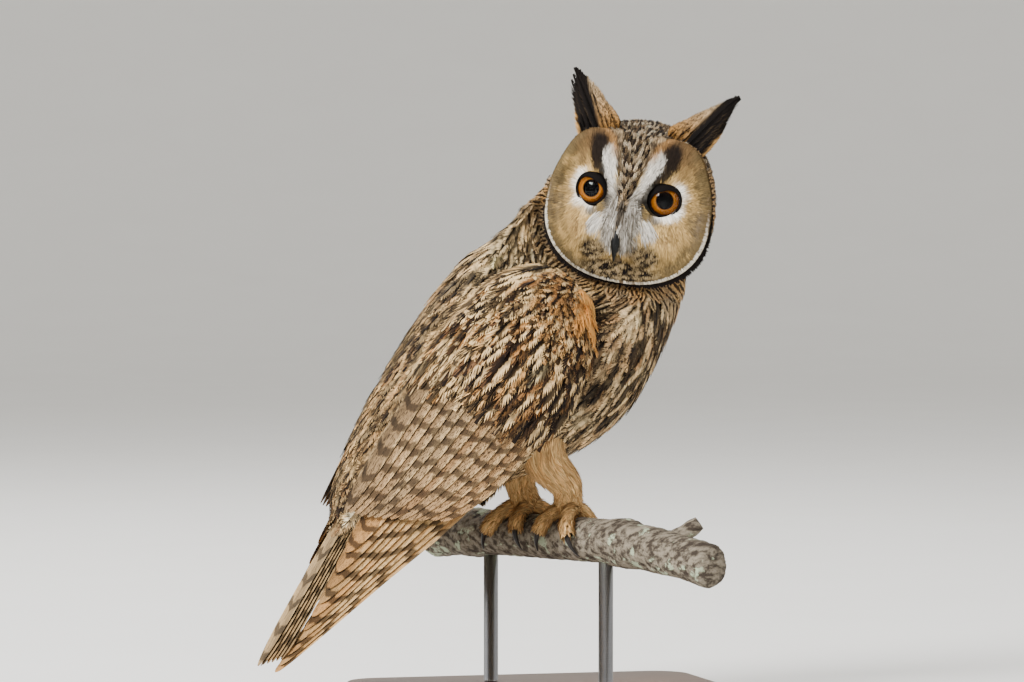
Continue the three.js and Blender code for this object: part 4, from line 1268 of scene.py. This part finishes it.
def plumes(coat):
    """The longer plumes between the eyes, over the root of the bill and along the brows."""
    brow_aside, brow_above, _ = np.array(LINES["brow"]).T
    for count, angles, places, heights, lengths, bend, lifts, grey in PLUMES:
        side = rng.choice([-1, 1], count)
        angle = np.radians(rng.uniform(*angles, count))
        z = rng.uniform(*heights, count)
        brow = np.interp(z, brow_above, brow_aside) + rng.normal(0, 1.2, count)
        y = side * (rng.uniform(*places, count) if places else brow)
        reach = rng.uniform(*lengths, count)[:, None]
        line_y = y[:, None] + (side * np.cos(angle))[:, None] * reach * STOPS
        line_z = z[:, None] + (np.sin(angle)[:, None] * STOPS + bend * STOPS**2) * reach
        line_y, line_z = round_eyes(line_y, line_z)
        clear = ~((np.abs(line_y[:, -1]) < 1.5) & (line_z[:, -1] < -27))
        n = clear.sum()
        shade = rng.normal(grey, 0.28, n)
        ground = layered(srgb(222, 216, 205), (srgb(92, 83, 71), shade), (INK, shade - 1))
        ground = ground * rng.uniform(0.7, 1.08, n)[:, None]
        width = rng.uniform(0.4, 0.7, n)
        head_strands(coat, line_y[clear], line_z[clear], width, 0.2, rng.uniform(*lifts, n), ground)


# Rows along the rim: where each starts, its length, lifts, widths, and whether it is black.
RIM_ROWS = (
    (0.966, 0.9, 0.9, 1.5, (0.35, 0.6), False),
    (0.982, 1.7, -0.2, 0.6, (0.6, 1.0), True),
    (0.998, 2.0, -1.3, -0.6, (0.7, 1.1), True),
)


def rim_row(coat):
    """The thin white line of the rim, and the black feathers that edge it."""
    for start, long, low, high, thick, dark in RIM_ROWS:
        angle = circle(1500) + 0.004 * rng.normal(size=1500)
        angle = np.where(angle > 1.5 * math.pi, angle - 2 * math.pi, angle)
        angle = angle[np.abs(angle - math.pi / 2) > math.radians(25) * rng.uniform(0.8, 1.2, 1500)]
        blotch = np.sin(41 * angle) + np.sin(67 * angle + 1.3)
        blotched = bell(angle + math.pi / 2, 0.5) * step(blotch, -0.5, 0.6)
        dull = np.maximum(step(np.sin(angle), -0.35, 0.2), blotched)
        shown = dark | (rng.random(len(angle)) > step(np.sin(angle), -0.2, 0.38))
        angle, dull = picked(shown, angle, dull)
        n = len(angle)
        above = np.sin(angle)
        corner = bell(angle + 0.75, 0.5) + bell(angle - math.pi - 0.75, 0.5)
        reach = long * rng.uniform(0.6, 1.25, n) * (1 + (1.1 if dark else 0.8) * corner)
        reach = (reach * (1 - 0.5 * step(above, -0.3, 0.3)))[:, None] * STOPS
        wander = 1 + 0.004 * rng.normal(size=n)
        run = (disc_reach(angle) * start * wander)[:, None] + reach
        line_y, line_z = run * np.cos(angle)[:, None], run * above[:, None] - HEAD["drop"]
        ground = mixed(srgb(246, 236, 216), srgb(104, 82, 56), 0.95 * dull)
        edge = mixed(INK, srgb(140, 112, 76), step(above, 0.0, 0.8) * rng.uniform(0.3, 1, n))
        ground = (edge if dark else ground) * rng.uniform(0.82 if dark else 0.5, 1.05, n)[:, None]
        sunk = 0.35 * reach if dark else 0.0
        head_strands(coat, line_y, line_z, rng.uniform(*thick, n), low, high, ground, sunk)


# The wings.


def wing_points(side, shape, start, end, width, lift, roll):
    """Feathers on the folded wing, each from one place to another, and their places across it."""
    s = shape.along
    along, across, rise = (lerp(a[:, None], b[:, None], s) for a, b in (*zip(start, end), lift))
    half = shape.across * width[:, None] / 2
    across = across + half / np.maximum(smooth(WING["breadth"], np.clip(along, 0, 1)), 4)
    points, _ = wing_spot(side, np.clip(along, 0, 1.02), across, rise + half * roll)
    return points, across


def between(value, share):
    """Numbers along a row of feathers, given as the first and the last or as one for all."""
    first, last = value if isinstance(value, tuple) else (value, value)
    return lerp(first, last, share)


def wing_tiers():
    """The rows of feathers on a wing, from the tip to the shoulder.

    Each has its kind, roots, tips, widths, lifts, ground, marks, and how wide the long streaks are. bend is
    how the tips swing along the row, and cap the most that the feathers' ends are lifted."""
    tiers = []

    def tier(kind, count, start, end, width, lift, ground, marks, streak, bend=1.0, cap=99.0):
        s = np.linspace(0, 1, count)
        start = [between(v, s) for v in start]
        end = [between(end[0], s**bend), between(end[1], s)]
        lift = [between(lift[0], s), np.minimum(cap, between(lift[1], s))]
        tiers.append((kind, start, end, between(width, s), lift, ground, marks, streak))

    tier("flight", 10, (0.47, (-0.2, 0.8)), ((0.76, 1), (-0.25, 0.5)), (16, 11.5),
         ((-0.9, -4.5), (1.5, -5.88)), srgb(168, 126, 78), [0.0, 0.9, 0.6, 0], 0, 0.85)
    tier("flight", 13, (0.31, (-0.8, 0.75)), ((0.71, 0.62), (-0.72, 0.66)), 14, (-0.4, (5.6, 2.8)),
         srgb(142, 112, 78), [0.0, 0.85, 1.0, 0], 0, 1.5)
    for row in range(3):
        tip = 0.39 + 0.035 * row
        tier("covert", 14, (0.17 + 0.04 * row, (-0.56, 0.88)), ((tip, tip - 0.05), (-0.6, 0.92)), 12,
             (-0.4, 4.5 - 0.3 * row), 0.38, [0.38, 0.6, 0.8, 0.85], 0.2)
    for row in range(3):
        tip = 0.23 + 0.035 * row
        tier("covert", 13, (0.09 + 0.028 * row, (-0.5, 0.86)), ((tip, tip - 0.03), (-0.54, 0.94)), 11.5,
             (-0.4, 5.2 - 0.25 * row), 0.48, [0.36, 0.45, 0.75, 0.85], 0.24)
    for row in range(10):
        root = -0.03 + 0.018 * row
        tier("small", 14 + row // 2, (root, (-0.5, 0.92)), (root + 0.07, (-0.52, 0.98)), 8.5,
             (-0.8, 5.7 - 0.09 * row), 0.55, [0.26, 0.35, 0.75, 0.6], 0.22, cap=2.4 + 0.8 * row)
    for row in range(12):
        root, tip = 0.02 * row, 0.13 + 0.031 * row
        tier("scapular", 7, (root, (-0.98, -0.36)), ((tip, tip - 0.02), (-1.0, -0.42)), 12,
             (-0.6, (3.4 - 0.1 * row, 6.2 - 0.1 * row)), 0.8, [0.18, 0.25, 0.4, 0.75], 0.37,
             cap=2.2 + 0.9 * row)
    return tiers


# Shades of the wing's coverts, from pale to dark.
COVERT_SHADES = np.array([
    srgb(228, 190, 134), srgb(206, 158, 98), srgb(188, 134, 76), srgb(140, 100, 62), srgb(98, 72, 50),
])
# How far each kind of the wing's feathers is rolled to one side.
ROLLS = {"flight": 0.2, "covert": 0.1, "scapular": 0.1, "small": 0.05}


def covert_ground(spots, along, across, pale):
    """Each covert's colour, with painted shade along the wing's front edge by the breast, and how plain it
    is.
    pale is the tier's share of light feathers.
    """
    level = 1 - pale + 0.32 * ripple(spots, 10, 91) + 0.24 * rng.normal(size=len(spots))
    level = np.clip(level, 0, 1) * (len(COVERT_SHADES) - 1)
    i = np.minimum(level.astype(int), len(COVERT_SHADES) - 2)
    ground = mixed(COVERT_SHADES[i], COVERT_SHADES[i + 1], level - i)
    plain = step(across, 0.2, 0.5) * step(along, 0.09, 0.04)
    # Painted shade along the wing's front edge below the bend, where it lies against the breast.
    front_edge_shade = step(across, 0.45, 0.8) * step(along, 0.05, 0.11)
    return layered(ground, (srgb(84, 62, 42), 0.8 * front_edge_shade), (ORANGE_BUFF, plain)), plain


def wing_coat(name, side):
    """A wing's quills, and its coverts and scapulars over them."""
    shapes = {
        "flight": vane_shape(26, 7, 2.6), "covert": contour_shape(20, 51, 0.1, 2.4),
        "small": contour_shape(12, 52, 0.12, 2.2), "scapular": contour_shape(20, 53, 0.12, 2.4),
    }
    flight, coverts = Coat(), Coat()
    for kind, start, end, width, lift, ground, marks, streak in wing_tiers():
        shape, n = shapes[kind], len(width)
        wander, change = (0.0, 0.0) if kind == "flight" else (0.03, 0.14)
        start = [v + share * wander * rng.normal(size=n) for v, share in zip(start, (0.3, 1))]
        end = [v + share * wander * rng.normal(size=n) for v, share in zip(end, (0.4, 1))]
        points, across = wing_points(side, shape, start, end, width, lift, ROLLS[kind])
        marks = np.clip(np.array(marks) + change * rng.normal(size=(n, 4)), 0, 1)
        roots = np.stack([0.5 + 0.45 * start[1], start[0]], -1)
        if kind == "flight":
            flight.add(shape, points, roots, varied(np.tile(ground, (n, 1)), 0.1), marks)
            continue
        shade, plain = covert_ground(points[:, 0], start[0], end[1], ground)
        marks *= (1 - 0.9 * plain)[:, None]
        marks[:, 3] *= rng.random(n) < 0.6
        dark = long_streaks(6.2 * across, points, streak * (1 - plain)[:, None], 95)
        coverts.add(shape, points, roots, mixed(varied(shade, 0.08)[:, None], INK, 0.92 * dark), marks)
    flight.made("wing_" + name + "_quills", FLIGHT_PLUMAGE, "flight_feathers", "wing_" + name)
    coverts.made("wing_" + name + "_coverts", COVERT_PLUMAGE, "flight_feathers")


def tail_coat():
    """Twelve tail feathers, with the middle pair uppermost."""
    shape = vane_shape(24, 9, 3.2)
    s, off = shape.along[:, None], shape.across[:, None] * TAIL["width"] / 2
    points, grounds = [], []
    for k, side in itertools.product(range(6), (-1, 1)):
        swing = math.radians(side * (k + 0.5) * TAIL["fan"])
        length = TAIL["length"] - 1.6 * k
        drop = 3.2 - 0.5 * (2 * k + (side > 0))
        spot = np.array(TAIL["root"]) + TAIL_WAY * (s * length * math.cos(swing))
        spot = spot + LEFTWARD * (s * length * math.sin(swing) + side * k * 0.6 + off)
        points.append(spot + TAIL_OUT * (drop - 3 * s * s - 0.02 * np.abs(off) * s))
        grounds.append(mixed(srgb(186, 152, 106), srgb(150, 124, 90), 0.1 if k else 0.6))
    roots = np.stack([np.linspace(0.1, 0.9, 12), np.full(12, 0.5)], -1)
    coat = Coat()
    marks = np.tile([0.05, 0.85, 0.35, 0], (12, 1))
    coat.add(shape, np.array(points), roots, varied(np.array(grounds), 0.05), marks)
    coat.made("tail_quills", FLIGHT_PLUMAGE, "flight_feathers", "tail")


def tuft_coat(name, side):
    """An ear tuft: black feathers, buff along the outer edge and mottled on the side of the crown."""
    splay, lean = math.radians(TUFT["splay"] + side * TUFT["cock"]), math.radians(TUFT["lean"])
    way = np.array([-math.tan(lean), side * math.sin(splay), math.cos(splay)]) * math.cos(lean)
    front = unit(np.array([1.0, 0, 0]) - way * way[0])
    outer = np.cross(way, front) * side
    root = np.array([TUFT["forward"], side * TUFT["aside"], TUFT["above"]])
    shape = contour_shape(20, 61, 0.1, 2.2)
    count = TUFT["feathers"]
    aside = rng.uniform(-1.45, 1, count)
    layer = np.sort(rng.uniform(-2.8, 2.8, count))
    length = TUFT["length"] * (1 - 0.42 * np.minimum(np.abs(aside), 1) ** 1.5)
    length = length * rng.uniform(0.82, 1.02, count) * (1 - 1.1 * np.maximum(0, -aside - 1))
    t, off = shape.along, shape.across * TUFT["feather_width"] / 2
    fan = 0.1 * rng.normal(size=count) - 0.12 * (aside < -0.5)
    reach = TUFT["half_width"] * (aside[:, None] * (1 - TUFT["gather"] * t**2) + fan[:, None] * t) + off
    rise = t * (length[:, None] + TUFT["sunk"]) - TUFT["sunk"]
    lift = layer[:, None] * (1 - 0.25 * t) - TUFT["curl"] * t * t - 0.08 * np.abs(off)
    spot = root + outer * reach[..., None] + way * rise[..., None] + front * lift[..., None]
    height = rise / TUFT["length"]
    place = 0.15 * aside[:, None] + 0.95 * reach / TUFT["half_width"] + 0.3 * height
    place = place + 0.06 * ripple(spot, 3, 63)
    medial = step(place, -0.28, -0.55) * step(height, 1.02, 0.8)
    edge = step(place, 1.18, 1.32) * step(height, 0.7, 0.4)
    mottled = mixed(srgb(158, 118, 70), srgb(172, 156, 128), height)
    colour = layered(INK * 0.7, (mottled, medial), (srgb(188, 144, 86), edge))
    colour = colour * rng.uniform(0.8, 1.12, (count, 1, 1))
    marks = medial[..., None] * np.array([0.1, 0.5, 0.95, 0])
    roots = np.stack([0.5 + 0.3 * aside, np.linspace(0.2, 0.8, count)], -1)
    coat = Coat()
    coat.add(shape, from_head(spot), roots, colour, marks)
    coat.made("tuft_" + name + "_feathers", TUFT_PLUMAGE, "tuft_feathers", "ear_tuft_" + name)


def limb_coat():
    """Short feathers down the legs and over the toes."""
    coat = Coat()
    strand = strand_shape(3)
    for side in (-1, 1):
        lines = [(leg_line(side, 40), leg_radius, 4200, 9.0, 4.8)]
        lines += [(toe_line(side, toe, 40), toe_radius, 1200, 4.4, 3.0) for toe in TOES]
        for line, radius, count, long, short in lines:
            way = unit(np.gradient(line, axis=0))
            across, other = beside(way)
            s = rng.random(count)
            turn = rng.uniform(0, 2 * math.pi, count)
            length = (lerp(long, short, s) * rng.uniform(0.8, 1.2, count))[:, None]
            total = np.linalg.norm(np.diff(line, axis=0), axis=1).sum()
            t = s[:, None] + length / total * STOPS
            inside = np.clip(t, 0, 1)
            past = (t - inside) * total
            index = (inside * (len(line) - 1)).astype(int)
            outs, ways = round_middle(across[index], other[index], turn[:, None]), way[index]
            spots = line[index] + outs * radius(inside)[..., None] + ways * past[..., None]
            sweep = rng.normal(0, 0.16, count)[:, None] * length * STOPS
            spots = spots + np.cross(unit(outs), ways) * sweep[..., None]
            width = rng.uniform(0.5, 1.0, count)
            high = 0.6 + 0.35 * rng.normal(size=count)
            points = laid(strand, spots, unit(outs), ways, width, -0.7, high, 0.1)
            away = np.linalg.norm(np.cross(points - perch_at(0.0), PERCH_WAY), axis=-1)
            clear = away.min(axis=1) > PERCH["radius"] + 0.2
            ground = varied(mixed(srgb(208, 168, 112), srgb(150, 112, 70), rng.random(count) ** 1.6), 0.2)
            roots = np.stack([turn / (2 * math.pi), s], -1)
            coat.add(strand, *picked(clear, points, roots, ground))
    coat.made("coat_legs", DOWN, "leg_plumage")


# Eyes, lids, bill and claws.


def eye_material():
    """The iris round a black pupil, with painted shade from the brow over its upper part.
    The map runs round it, and from its middle to its edge at 1.
    """
    s = Shader("iris")
    uv = s.vane()
    turn = s.times(uv[0], 2 * math.pi)
    ring = s.vector(s.times(s.math("COSINE", turn), 14), s.times(s.math("SINE", turn), 14), uv[1])
    spokes = s.noise(ring, 1.6, 4, 0.6)
    out = s.plus(uv[1], s.fit(spokes, 0.06, -0.03))
    colour = s.mix(s.step(out, 0.57, 0.84), srgb(156, 98, 28), srgb(122, 70, 16))
    colour = s.mix(s.times(s.step(spokes, 0.42, 0.68), 0.55), colour, srgb(92, 52, 15))
    for place, low, high, shade in (
        (out, 0.84, 0.98, srgb(44, 22, 10)), (out, 0.63, 0.57, srgb(54, 29, 11)),
        (uv[1], 0.58, 0.565, (0.001, 0.001, 0.0012)),
    ):
        colour = s.mix(s.step(place, low, high), colour, shade)
    # Painted shade of the brow, darkening the upper part of the iris.
    high = s.step(s.times(s.math("SINE", turn), uv[1]), 0.2, 0.85)
    colour = s.mix(s.times(high, 0.6), colour, srgb(30, 16, 8))
    colour = s.mix(s.step(uv[1], 1.0, 1.04), colour, srgb(16, 12, 10))
    return s.surface(colour, 0.6, s.bump(spokes, 0.3, 0.0002), Specular_IOR_Level=0.0)


def cornea_material():
    """Clear, with the gloss of a wet surface."""
    s = Shader("cornea")
    shine = s.node("ShaderNodeBsdfGlossy", {"Color": (1, 1, 1, 1), "Roughness": 0.01})
    clear = s.node("ShaderNodeBsdfTransparent", {"Color": (1, 1, 1, 1)})
    edge = s.node("ShaderNodeFresnel", {"IOR": 1.2})
    both = s.node("ShaderNodeMixShader", {0: edge.outputs[0], 1: clear.outputs[0], 2: shine.outputs[0]})
    end = s.node("ShaderNodeOutputMaterial")
    s.tree.links.new(both.outputs[0], end.inputs[0])
    return s.material


def lid_material():
    """Bare black skin with fine folds."""
    s = Shader("lid_skin")
    folds = s.noise(s.place(), 900, 3, 0.6)
    colour = s.mix(folds, srgb(4, 3, 3), srgb(16, 12, 10))
    return s.surface(colour, 0.8, s.bump(folds, 0.4, 0.0003), Specular_IOR_Level=0.08)


def turned_form(name, side, profile, material, *nodes):
    """A form turned round an eye's line of sight, through points (ahead, away) of a profile."""
    centre, ahead, aside = eye_frame(side)
    turn = np.linspace(0, 2 * math.pi, 65)
    forward, away = np.array(profile).T
    points = centre + ahead * forward[:, None, None] + round_middle(aside, UP, turn) * away[:, None, None]
    share = away / IRIS["radius"] + (forward < IRIS["back"]) * (away > IRIS["inner"])
    uv = np.stack(np.broadcast_arrays(turn / (2 * math.pi), share[:, None]), -1).reshape(-1, 2)
    quads = grid_quads(len(profile), 65)
    return owl_piece(name, from_head(points), quads, material, "eye", *nodes, maps={"Vane": uv})


def eyes():
    """Each eye has an iris that lies behind a clear cornea, with the pupil as an opening in it."""
    iris, cornea, lid = eye_material(), cornea_material(), lid_material()
    ball, dome = np.radians(np.linspace(46, 176, 34)), np.radians(np.linspace(0.3, 46, 22))
    back, front = (np.stack([np.cos(turn), np.sin(turn)], -1) * EYE["radius"] for turn in (ball, dome))
    for name, side in SIDES.items():
        turned_form("eyeball_" + name, side, np.concatenate([IRIS["profile"], back]), iris, "eye_" + name)
        turned_form("cornea_" + name, side, front, cornea)
        lids(name, side, lid)


def lids(name, side, material):
    """The bare dark edge of the lids. The upper lid comes down a little towards the bill.
    Its edge is broader there: partly the lid itself and partly a band of painted shade under the brow.
    """
    centre, ahead, aside = eye_frame(side)
    turn = circle(72)
    upper = np.maximum(0, np.cos(turn - math.radians(90 + side * LID["to_bill"])))
    half = np.radians(EYE["opening"] - LID["drop"] * upper**1.6)
    outward = round_middle(aside, UP, turn)
    way, across = round_middle(ahead, outward, half), round_middle(outward, -ahead, half)
    # Broader towards the top: partly the upper lid and partly a dark band of painted shade under the brow.
    thick = (0.8 + 1.5 * upper)[:, None]
    middle = centre + way * (EYE["radius"] + LID["out"]) + across * LID["aside"] * thick
    ring = round_middle((across * thick)[:, None], way[:, None], circle(14), LID["wide"], LID["deep"])
    quads = grid_quads(72, 14, True, True)[:, [0, 3, 2, 1]]
    owl_piece("eyelids_" + name, from_head(middle[:, None] + ring), quads, material, "face_plumage")


def horn(name, tip, root, gloss):
    """Horn with a fine grain of two shades."""
    s = Shader(name)
    grain = s.noise(s.mapped(s.place(), (900, 900, 260)), 1.0, 4, 0.55)
    colour = s.mix(grain, tip, root)
    coat = {"Coat_Weight": 0.05, "Coat_Roughness": 0.3, "Specular_IOR_Level": 0.15}
    return s.surface(colour, gloss, s.bump(grain, 0.18, 0.0002), **coat)


def bill_half(name, node, path, wide, deep, material):
    """Half of the bill, along a path (ahead, above) in the head's frame, with half widths and half depths."""
    ahead, above = np.array(path, float).T
    s = np.linspace(0, 1, 36)
    line = np.stack([smooth(ahead, s), 0 * s, smooth(above, s)], -1)
    up = over(unit(np.gradient(line, axis=0)))
    turn = circle(28)
    keel = 1 + 0.1 * bell(np.abs(turn - math.pi / 2), 0.5)
    wide, deep = smooth(wide, s)[:, None], smooth(deep, s)[:, None] * keel
    points, faces = loft(line[:, None] + round_middle(LEFTWARD, up[:, None], turn, wide, deep))
    owl_piece(name, from_head(points), faces, material, "bill", node)


def bill():
    """Both halves of the bill."""
    material = horn("bill_horn", srgb(3, 3, 3), srgb(13, 12, 12), 0.5)
    bill_half(
        "upper_bill_horn", "bill_upper", [[20, -12], [28.5, -15], [34.6, -20.5], [37, -28], [34.8, -36.5]],
        [5.4, 5.2, 4, 2.3, 0.35], [7, 6.4, 4.8, 3, 0.4], material)
    bill_half(
        "lower_bill_horn", "bill_lower", [[18, -21.5], [25.5, -23.5], [30.4, -27.8], [32, -31.5]],
        [4.4, 4, 2.6, 0.9], [3.8, 3.4, 2.6, 1], material)


def claws():
    """Eight claws, which go on round the branch from the toes."""
    material = horn("claw_horn", srgb(16, 14, 14), srgb(48, 43, 41), 0.3)
    s = np.linspace(0, 1, 22)
    distance = PERCH["radius"] + TOE_RADIUS * 0.86 + 0.8 - 1.9 * s + 0.6 * np.sin(3 * s)
    for (name, side), toe in itertools.product(SIDES.items(), TOES):
        line = round_perch(side, toe, TOES[toe][3] - 12 + 58 * s, distance)
        points, faces = loft(tube(line, lerp(CLAW_RADIUS, 0.25, s**1.4), 14))
        owl_piece("talon_" + name + "_" + toe, points, faces, material, "claw", "claw_" + name + "_" + toe)


# The branch and the stand.


def bark_material():
    """Grey bark with plates along the branch, and patches of lichen."""
    s = Shader("bark")
    place = s.place()
    along_branch = s.mapped(place, (60, 260, 260), (0, 0, math.radians(-PERCH["heading"])))
    plates = s.noise(along_branch, 1.2, 6, 0.62)
    fine = s.noise(place, 700, 4, 0.6)
    colour = s.mix(s.step(plates, 0.38, 0.62), srgb(58, 50, 42), srgb(132, 122, 106))
    colour = s.mix(s.times(s.step(fine, 0.5, 0.7), 0.35), colour, srgb(38, 33, 29))
    lichen = s.step(s.noise(place, 95, 5, 0.65), 0.56, 0.62)
    colour = s.mix(s.times(lichen, 0.85), colour, srgb(168, 178, 150))
    height = s.plus(s.times(plates, 1.0), s.times(fine, 0.35))
    return s.surface(colour, 0.88, s.bump(height, 0.7, 0.0016), Specular_IOR_Level=0.2)


def perch():
    """The branch, with bark that is rough beyond the feet, two knots and the stub of a twig."""
    along = np.linspace(-PERCH["to_back"], PERCH["to_front"], 150)
    away = np.maximum(0, np.abs(along) - 34)
    line = perch_at(along) - UP * (0.0011 * away**2)[:, None]
    a, t = np.meshgrid(along, circle(72), indexing="ij")
    bark = 0.7 * np.sin(3 * t + a / 9) * np.sin(a / 13 + t) * np.minimum(1, away / 12)[:, None]
    knot = 2.2 * bell(a - 62, 9) * bell(np.cos(t) - 0.4, 0.7) + 1.6 * bell(a + 58, 8)
    spots = np.stack([a / 9, 5 * np.cos(t), 5 * np.sin(t)], -1)
    rough = 0.28 * ripple(spots, 0.5, 71) + 0.16 * ripple(spots, 0.22, 72)
    ends = np.minimum(1, np.minimum(a - along[0], along[-1] - a) / 1.2)
    radius = PERCH["radius"] + bark + knot - 0.008 * np.maximum(0, a - 40) + np.minimum(rough, 0.25)
    radius = radius - 0.8 * (1 - ends) ** 2
    rings = line[:, None] + round_middle(PERCH_ASIDE, UP, t, radius, radius)
    way = PERCH_WAY * 0.6 + PERCH_ASIDE * 0.55 + UP * 0.58
    s = np.linspace(0, 1, 24)
    twig = perch_at(88.0) - UP * 3 + way * (26 * s)[:, None]
    stub = tube(twig, lerp(6.2, 4, s) + 0.25 * np.sin(17 * s), 32)
    owl_piece("branch", *together([loft(rings), loft(stub)]), bark_material(), "bark", "perch")


def wood_material():
    """Stained wood with its grain along the base."""
    s = Shader("stained_wood")
    place = s.place()
    grain = s.noise(s.mapped(place, (14, 190, 190)), 1.0, 6, 0.6)
    inputs = {
        "Vector": s.mapped(place, (4, 60, 60)), "Scale": 1.3, "Distortion": 5.0, "Detail": 3.0,
        "Detail Scale": 1.6,
    }
    rings = s.node("ShaderNodeTexWave", inputs, bands_direction="Y").outputs[1]
    colour = s.mix(s.fit(grain, 0.7, s.times(rings, 0.3)), srgb(52, 32, 20), srgb(112, 74, 46))
    return s.surface(colour, 0.42, s.bump(grain, 0.15, 0.0004), Coat_Weight=0.2, Coat_Roughness=0.3)


def steel_material():
    """Steel brushed round the rods."""
    s = Shader("brushed_steel")
    brushed = s.noise(s.mapped(s.place(), (300, 300, 9000)), 1.0, 3, 0.5)
    colour = s.mix(brushed, srgb(150, 150, 152), srgb(196, 196, 198))
    return s.surface(colour, s.fit(brushed, 0.2, 0.22), s.bump(brushed, 0.06, 0.0001), Metallic=1.0)


def stand():
    """The wooden base with a rounded edge, and the two rods that hold the branch."""
    half = np.array([BASE["length"] / 2, BASE["width"] / 2])
    turn, bevel = circle(128), 2.5
    c, s = np.cos(turn), np.sin(turn)

    def outline(inset, z):
        r = max(BASE["corner"] - inset, 1)
        x, y = half - inset - r
        return np.stack([np.sign(c) * x + r * c, np.sign(s) * y + r * s, 0 * turn + z], -1)

    levels = [(bevel * (1 - math.sin(k)), bevel * (1 - math.cos(k))) for k in np.linspace(0, math.pi / 2, 7)]
    profile = levels + [(inset, BASE["thickness"] - z) for inset, z in reversed(levels)]
    points, faces = loft(np.array([outline(inset, z) for inset, z in profile]))
    base = mesh_object("stand_base_wood", points / 1000, faces, wood_material())
    base.data.set_sharp_from_angle(angle=math.radians(40))
    placed(base, "stand_wood", "stand_base")
    steel = steel_material()
    radius = np.array([ROD["radius"] - 0.5, ROD["radius"], ROD["radius"], ROD["radius"]])[:, None]
    for name, along in (("front", ROD["reach"]), ("back", -ROD["reach"])):
        x, y, _ = perch_at(float(along))
        low = BASE["thickness"] + 0.3 - PERCH_TOP
        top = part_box("stand_rod_" + name)[1].z * 1000 - PERCH_TOP
        centre = np.array([(x, y, z) for z in (low, low + 0.5, low + 0.5, top)])
        ring = round_middle(np.array([1, 0, 0]), LEFTWARD, circle(48), radius, radius)
        points, faces = loft(centre[:, None] + ring)
        owl_piece("stand_rod_" + name + "_steel", points, faces, steel, "stand_steel", "stand_rod_" + name)


# Floor, light and camera.


# Lamps: place, power in watts and width, in metres.
LAMPS = (
    ("key", (-1.7, -1.3, 1.5), 128, 0.9),
    ("fill", (1.7, -1.5, 0.9), 16, 1.6),
    ("top", (-0.2, 1.4, 1.9), 40, 1.2),
)
CAMERA = {"target": (-0.019, 0.005, 0.2087), "azimuth": -15, "height": 2, "distance": 3.0, "lens": 192}


def stood(name, data, place, back):
    """A lamp or camera at a place, with its back the way given."""
    holder = bpy.data.objects.new(name, data)
    holder.location = place
    holder.rotation_euler = back.to_track_quat("Z", "Y").to_euler()
    bpy.context.scene.collection.objects.link(holder)
    return holder


def studio():
    """A pale floor that curves up into a round wall far away, and soft lights."""
    bend = np.linspace(0.1, math.pi / 2, 14)
    run = np.concatenate([[0.01, 2.5, 4.5], 4.5 + 3.5 * np.sin(bend), [8.0]])[:, None]
    rise = np.concatenate([[0, 0, 0], 3.5 * (1 - np.cos(bend)), [5.5]])[:, None]
    turn = circle(96)
    points = np.stack([run * np.cos(turn), run * np.sin(turn), rise + 0 * turn], -1)
    s = Shader("floor_paint")
    colour = s.mix(s.noise(s.place(), 9, 3), srgb(242, 240, 236), srgb(246, 245, 241))
    quads = grid_quads(len(run), 96, ring_columns=True)
    mesh_object("floor", points, quads, s.surface(colour, 0.9))
    world = bpy.data.worlds.new("studio")
    world.use_nodes = True
    glow = world.node_tree.nodes["Background"].inputs
    glow[0].default_value = (0.92, 0.91, 0.89, 1)
    glow[1].default_value = 0.75
    bpy.context.scene.world = world
    for name, place, power, width in LAMPS:
        lamp = bpy.data.lights.new(name, "AREA")
        lamp.shape = "DISK"
        lamp.size = width
        lamp.energy = power
        stood(name, lamp, place, Vector(place) - Vector((0.0, 0.0, 0.23)))


def camera():
    """The photo's view: from the owl's right and a little behind, almost level."""
    azimuth, height = math.radians(CAMERA["azimuth"]), math.radians(CAMERA["height"])
    level = math.cos(height)
    back = Vector((math.sin(azimuth) * level, -math.cos(azimuth) * level, math.sin(height)))
    lens = bpy.data.cameras.new("camera")
    lens.lens = CAMERA["lens"]
    lens.sensor_width = 36
    lens.clip_end = 100
    place = Vector(CAMERA["target"]) + back * CAMERA["distance"]
    bpy.context.scene.camera = stood("camera", lens, place, back)


BODY_PLUMAGE = plumage("body_feathers", bars=4.2, chevron=0.45, fine=16)
TUFT_PLUMAGE = plumage("tuft_feathers", bars=4.2, chevron=0.45, fine=16, edge=0.03)
COVERT_PLUMAGE = plumage("covert_feathers", bars=3.6, chevron=0.3, fine=14, edge=0.25, duty=0.45)
FLIGHT_PLUMAGE = plumage(
    "quill_feathers", bars=8.5, chevron=0.3, fine=46, stagger=0.012, edge=0.4, duty=0.12, inner=0.62)
DOWN = down("hair_feathers")

skin()
contour_coat()
face_coat()
for side_name, side_sign in SIDES.items():
    wing_coat(side_name, side_sign)
    tuft_coat(side_name, side_sign)
tail_coat()
limb_coat()
eyes()
bill()
claws()
perch()
stand()
studio()
camera()
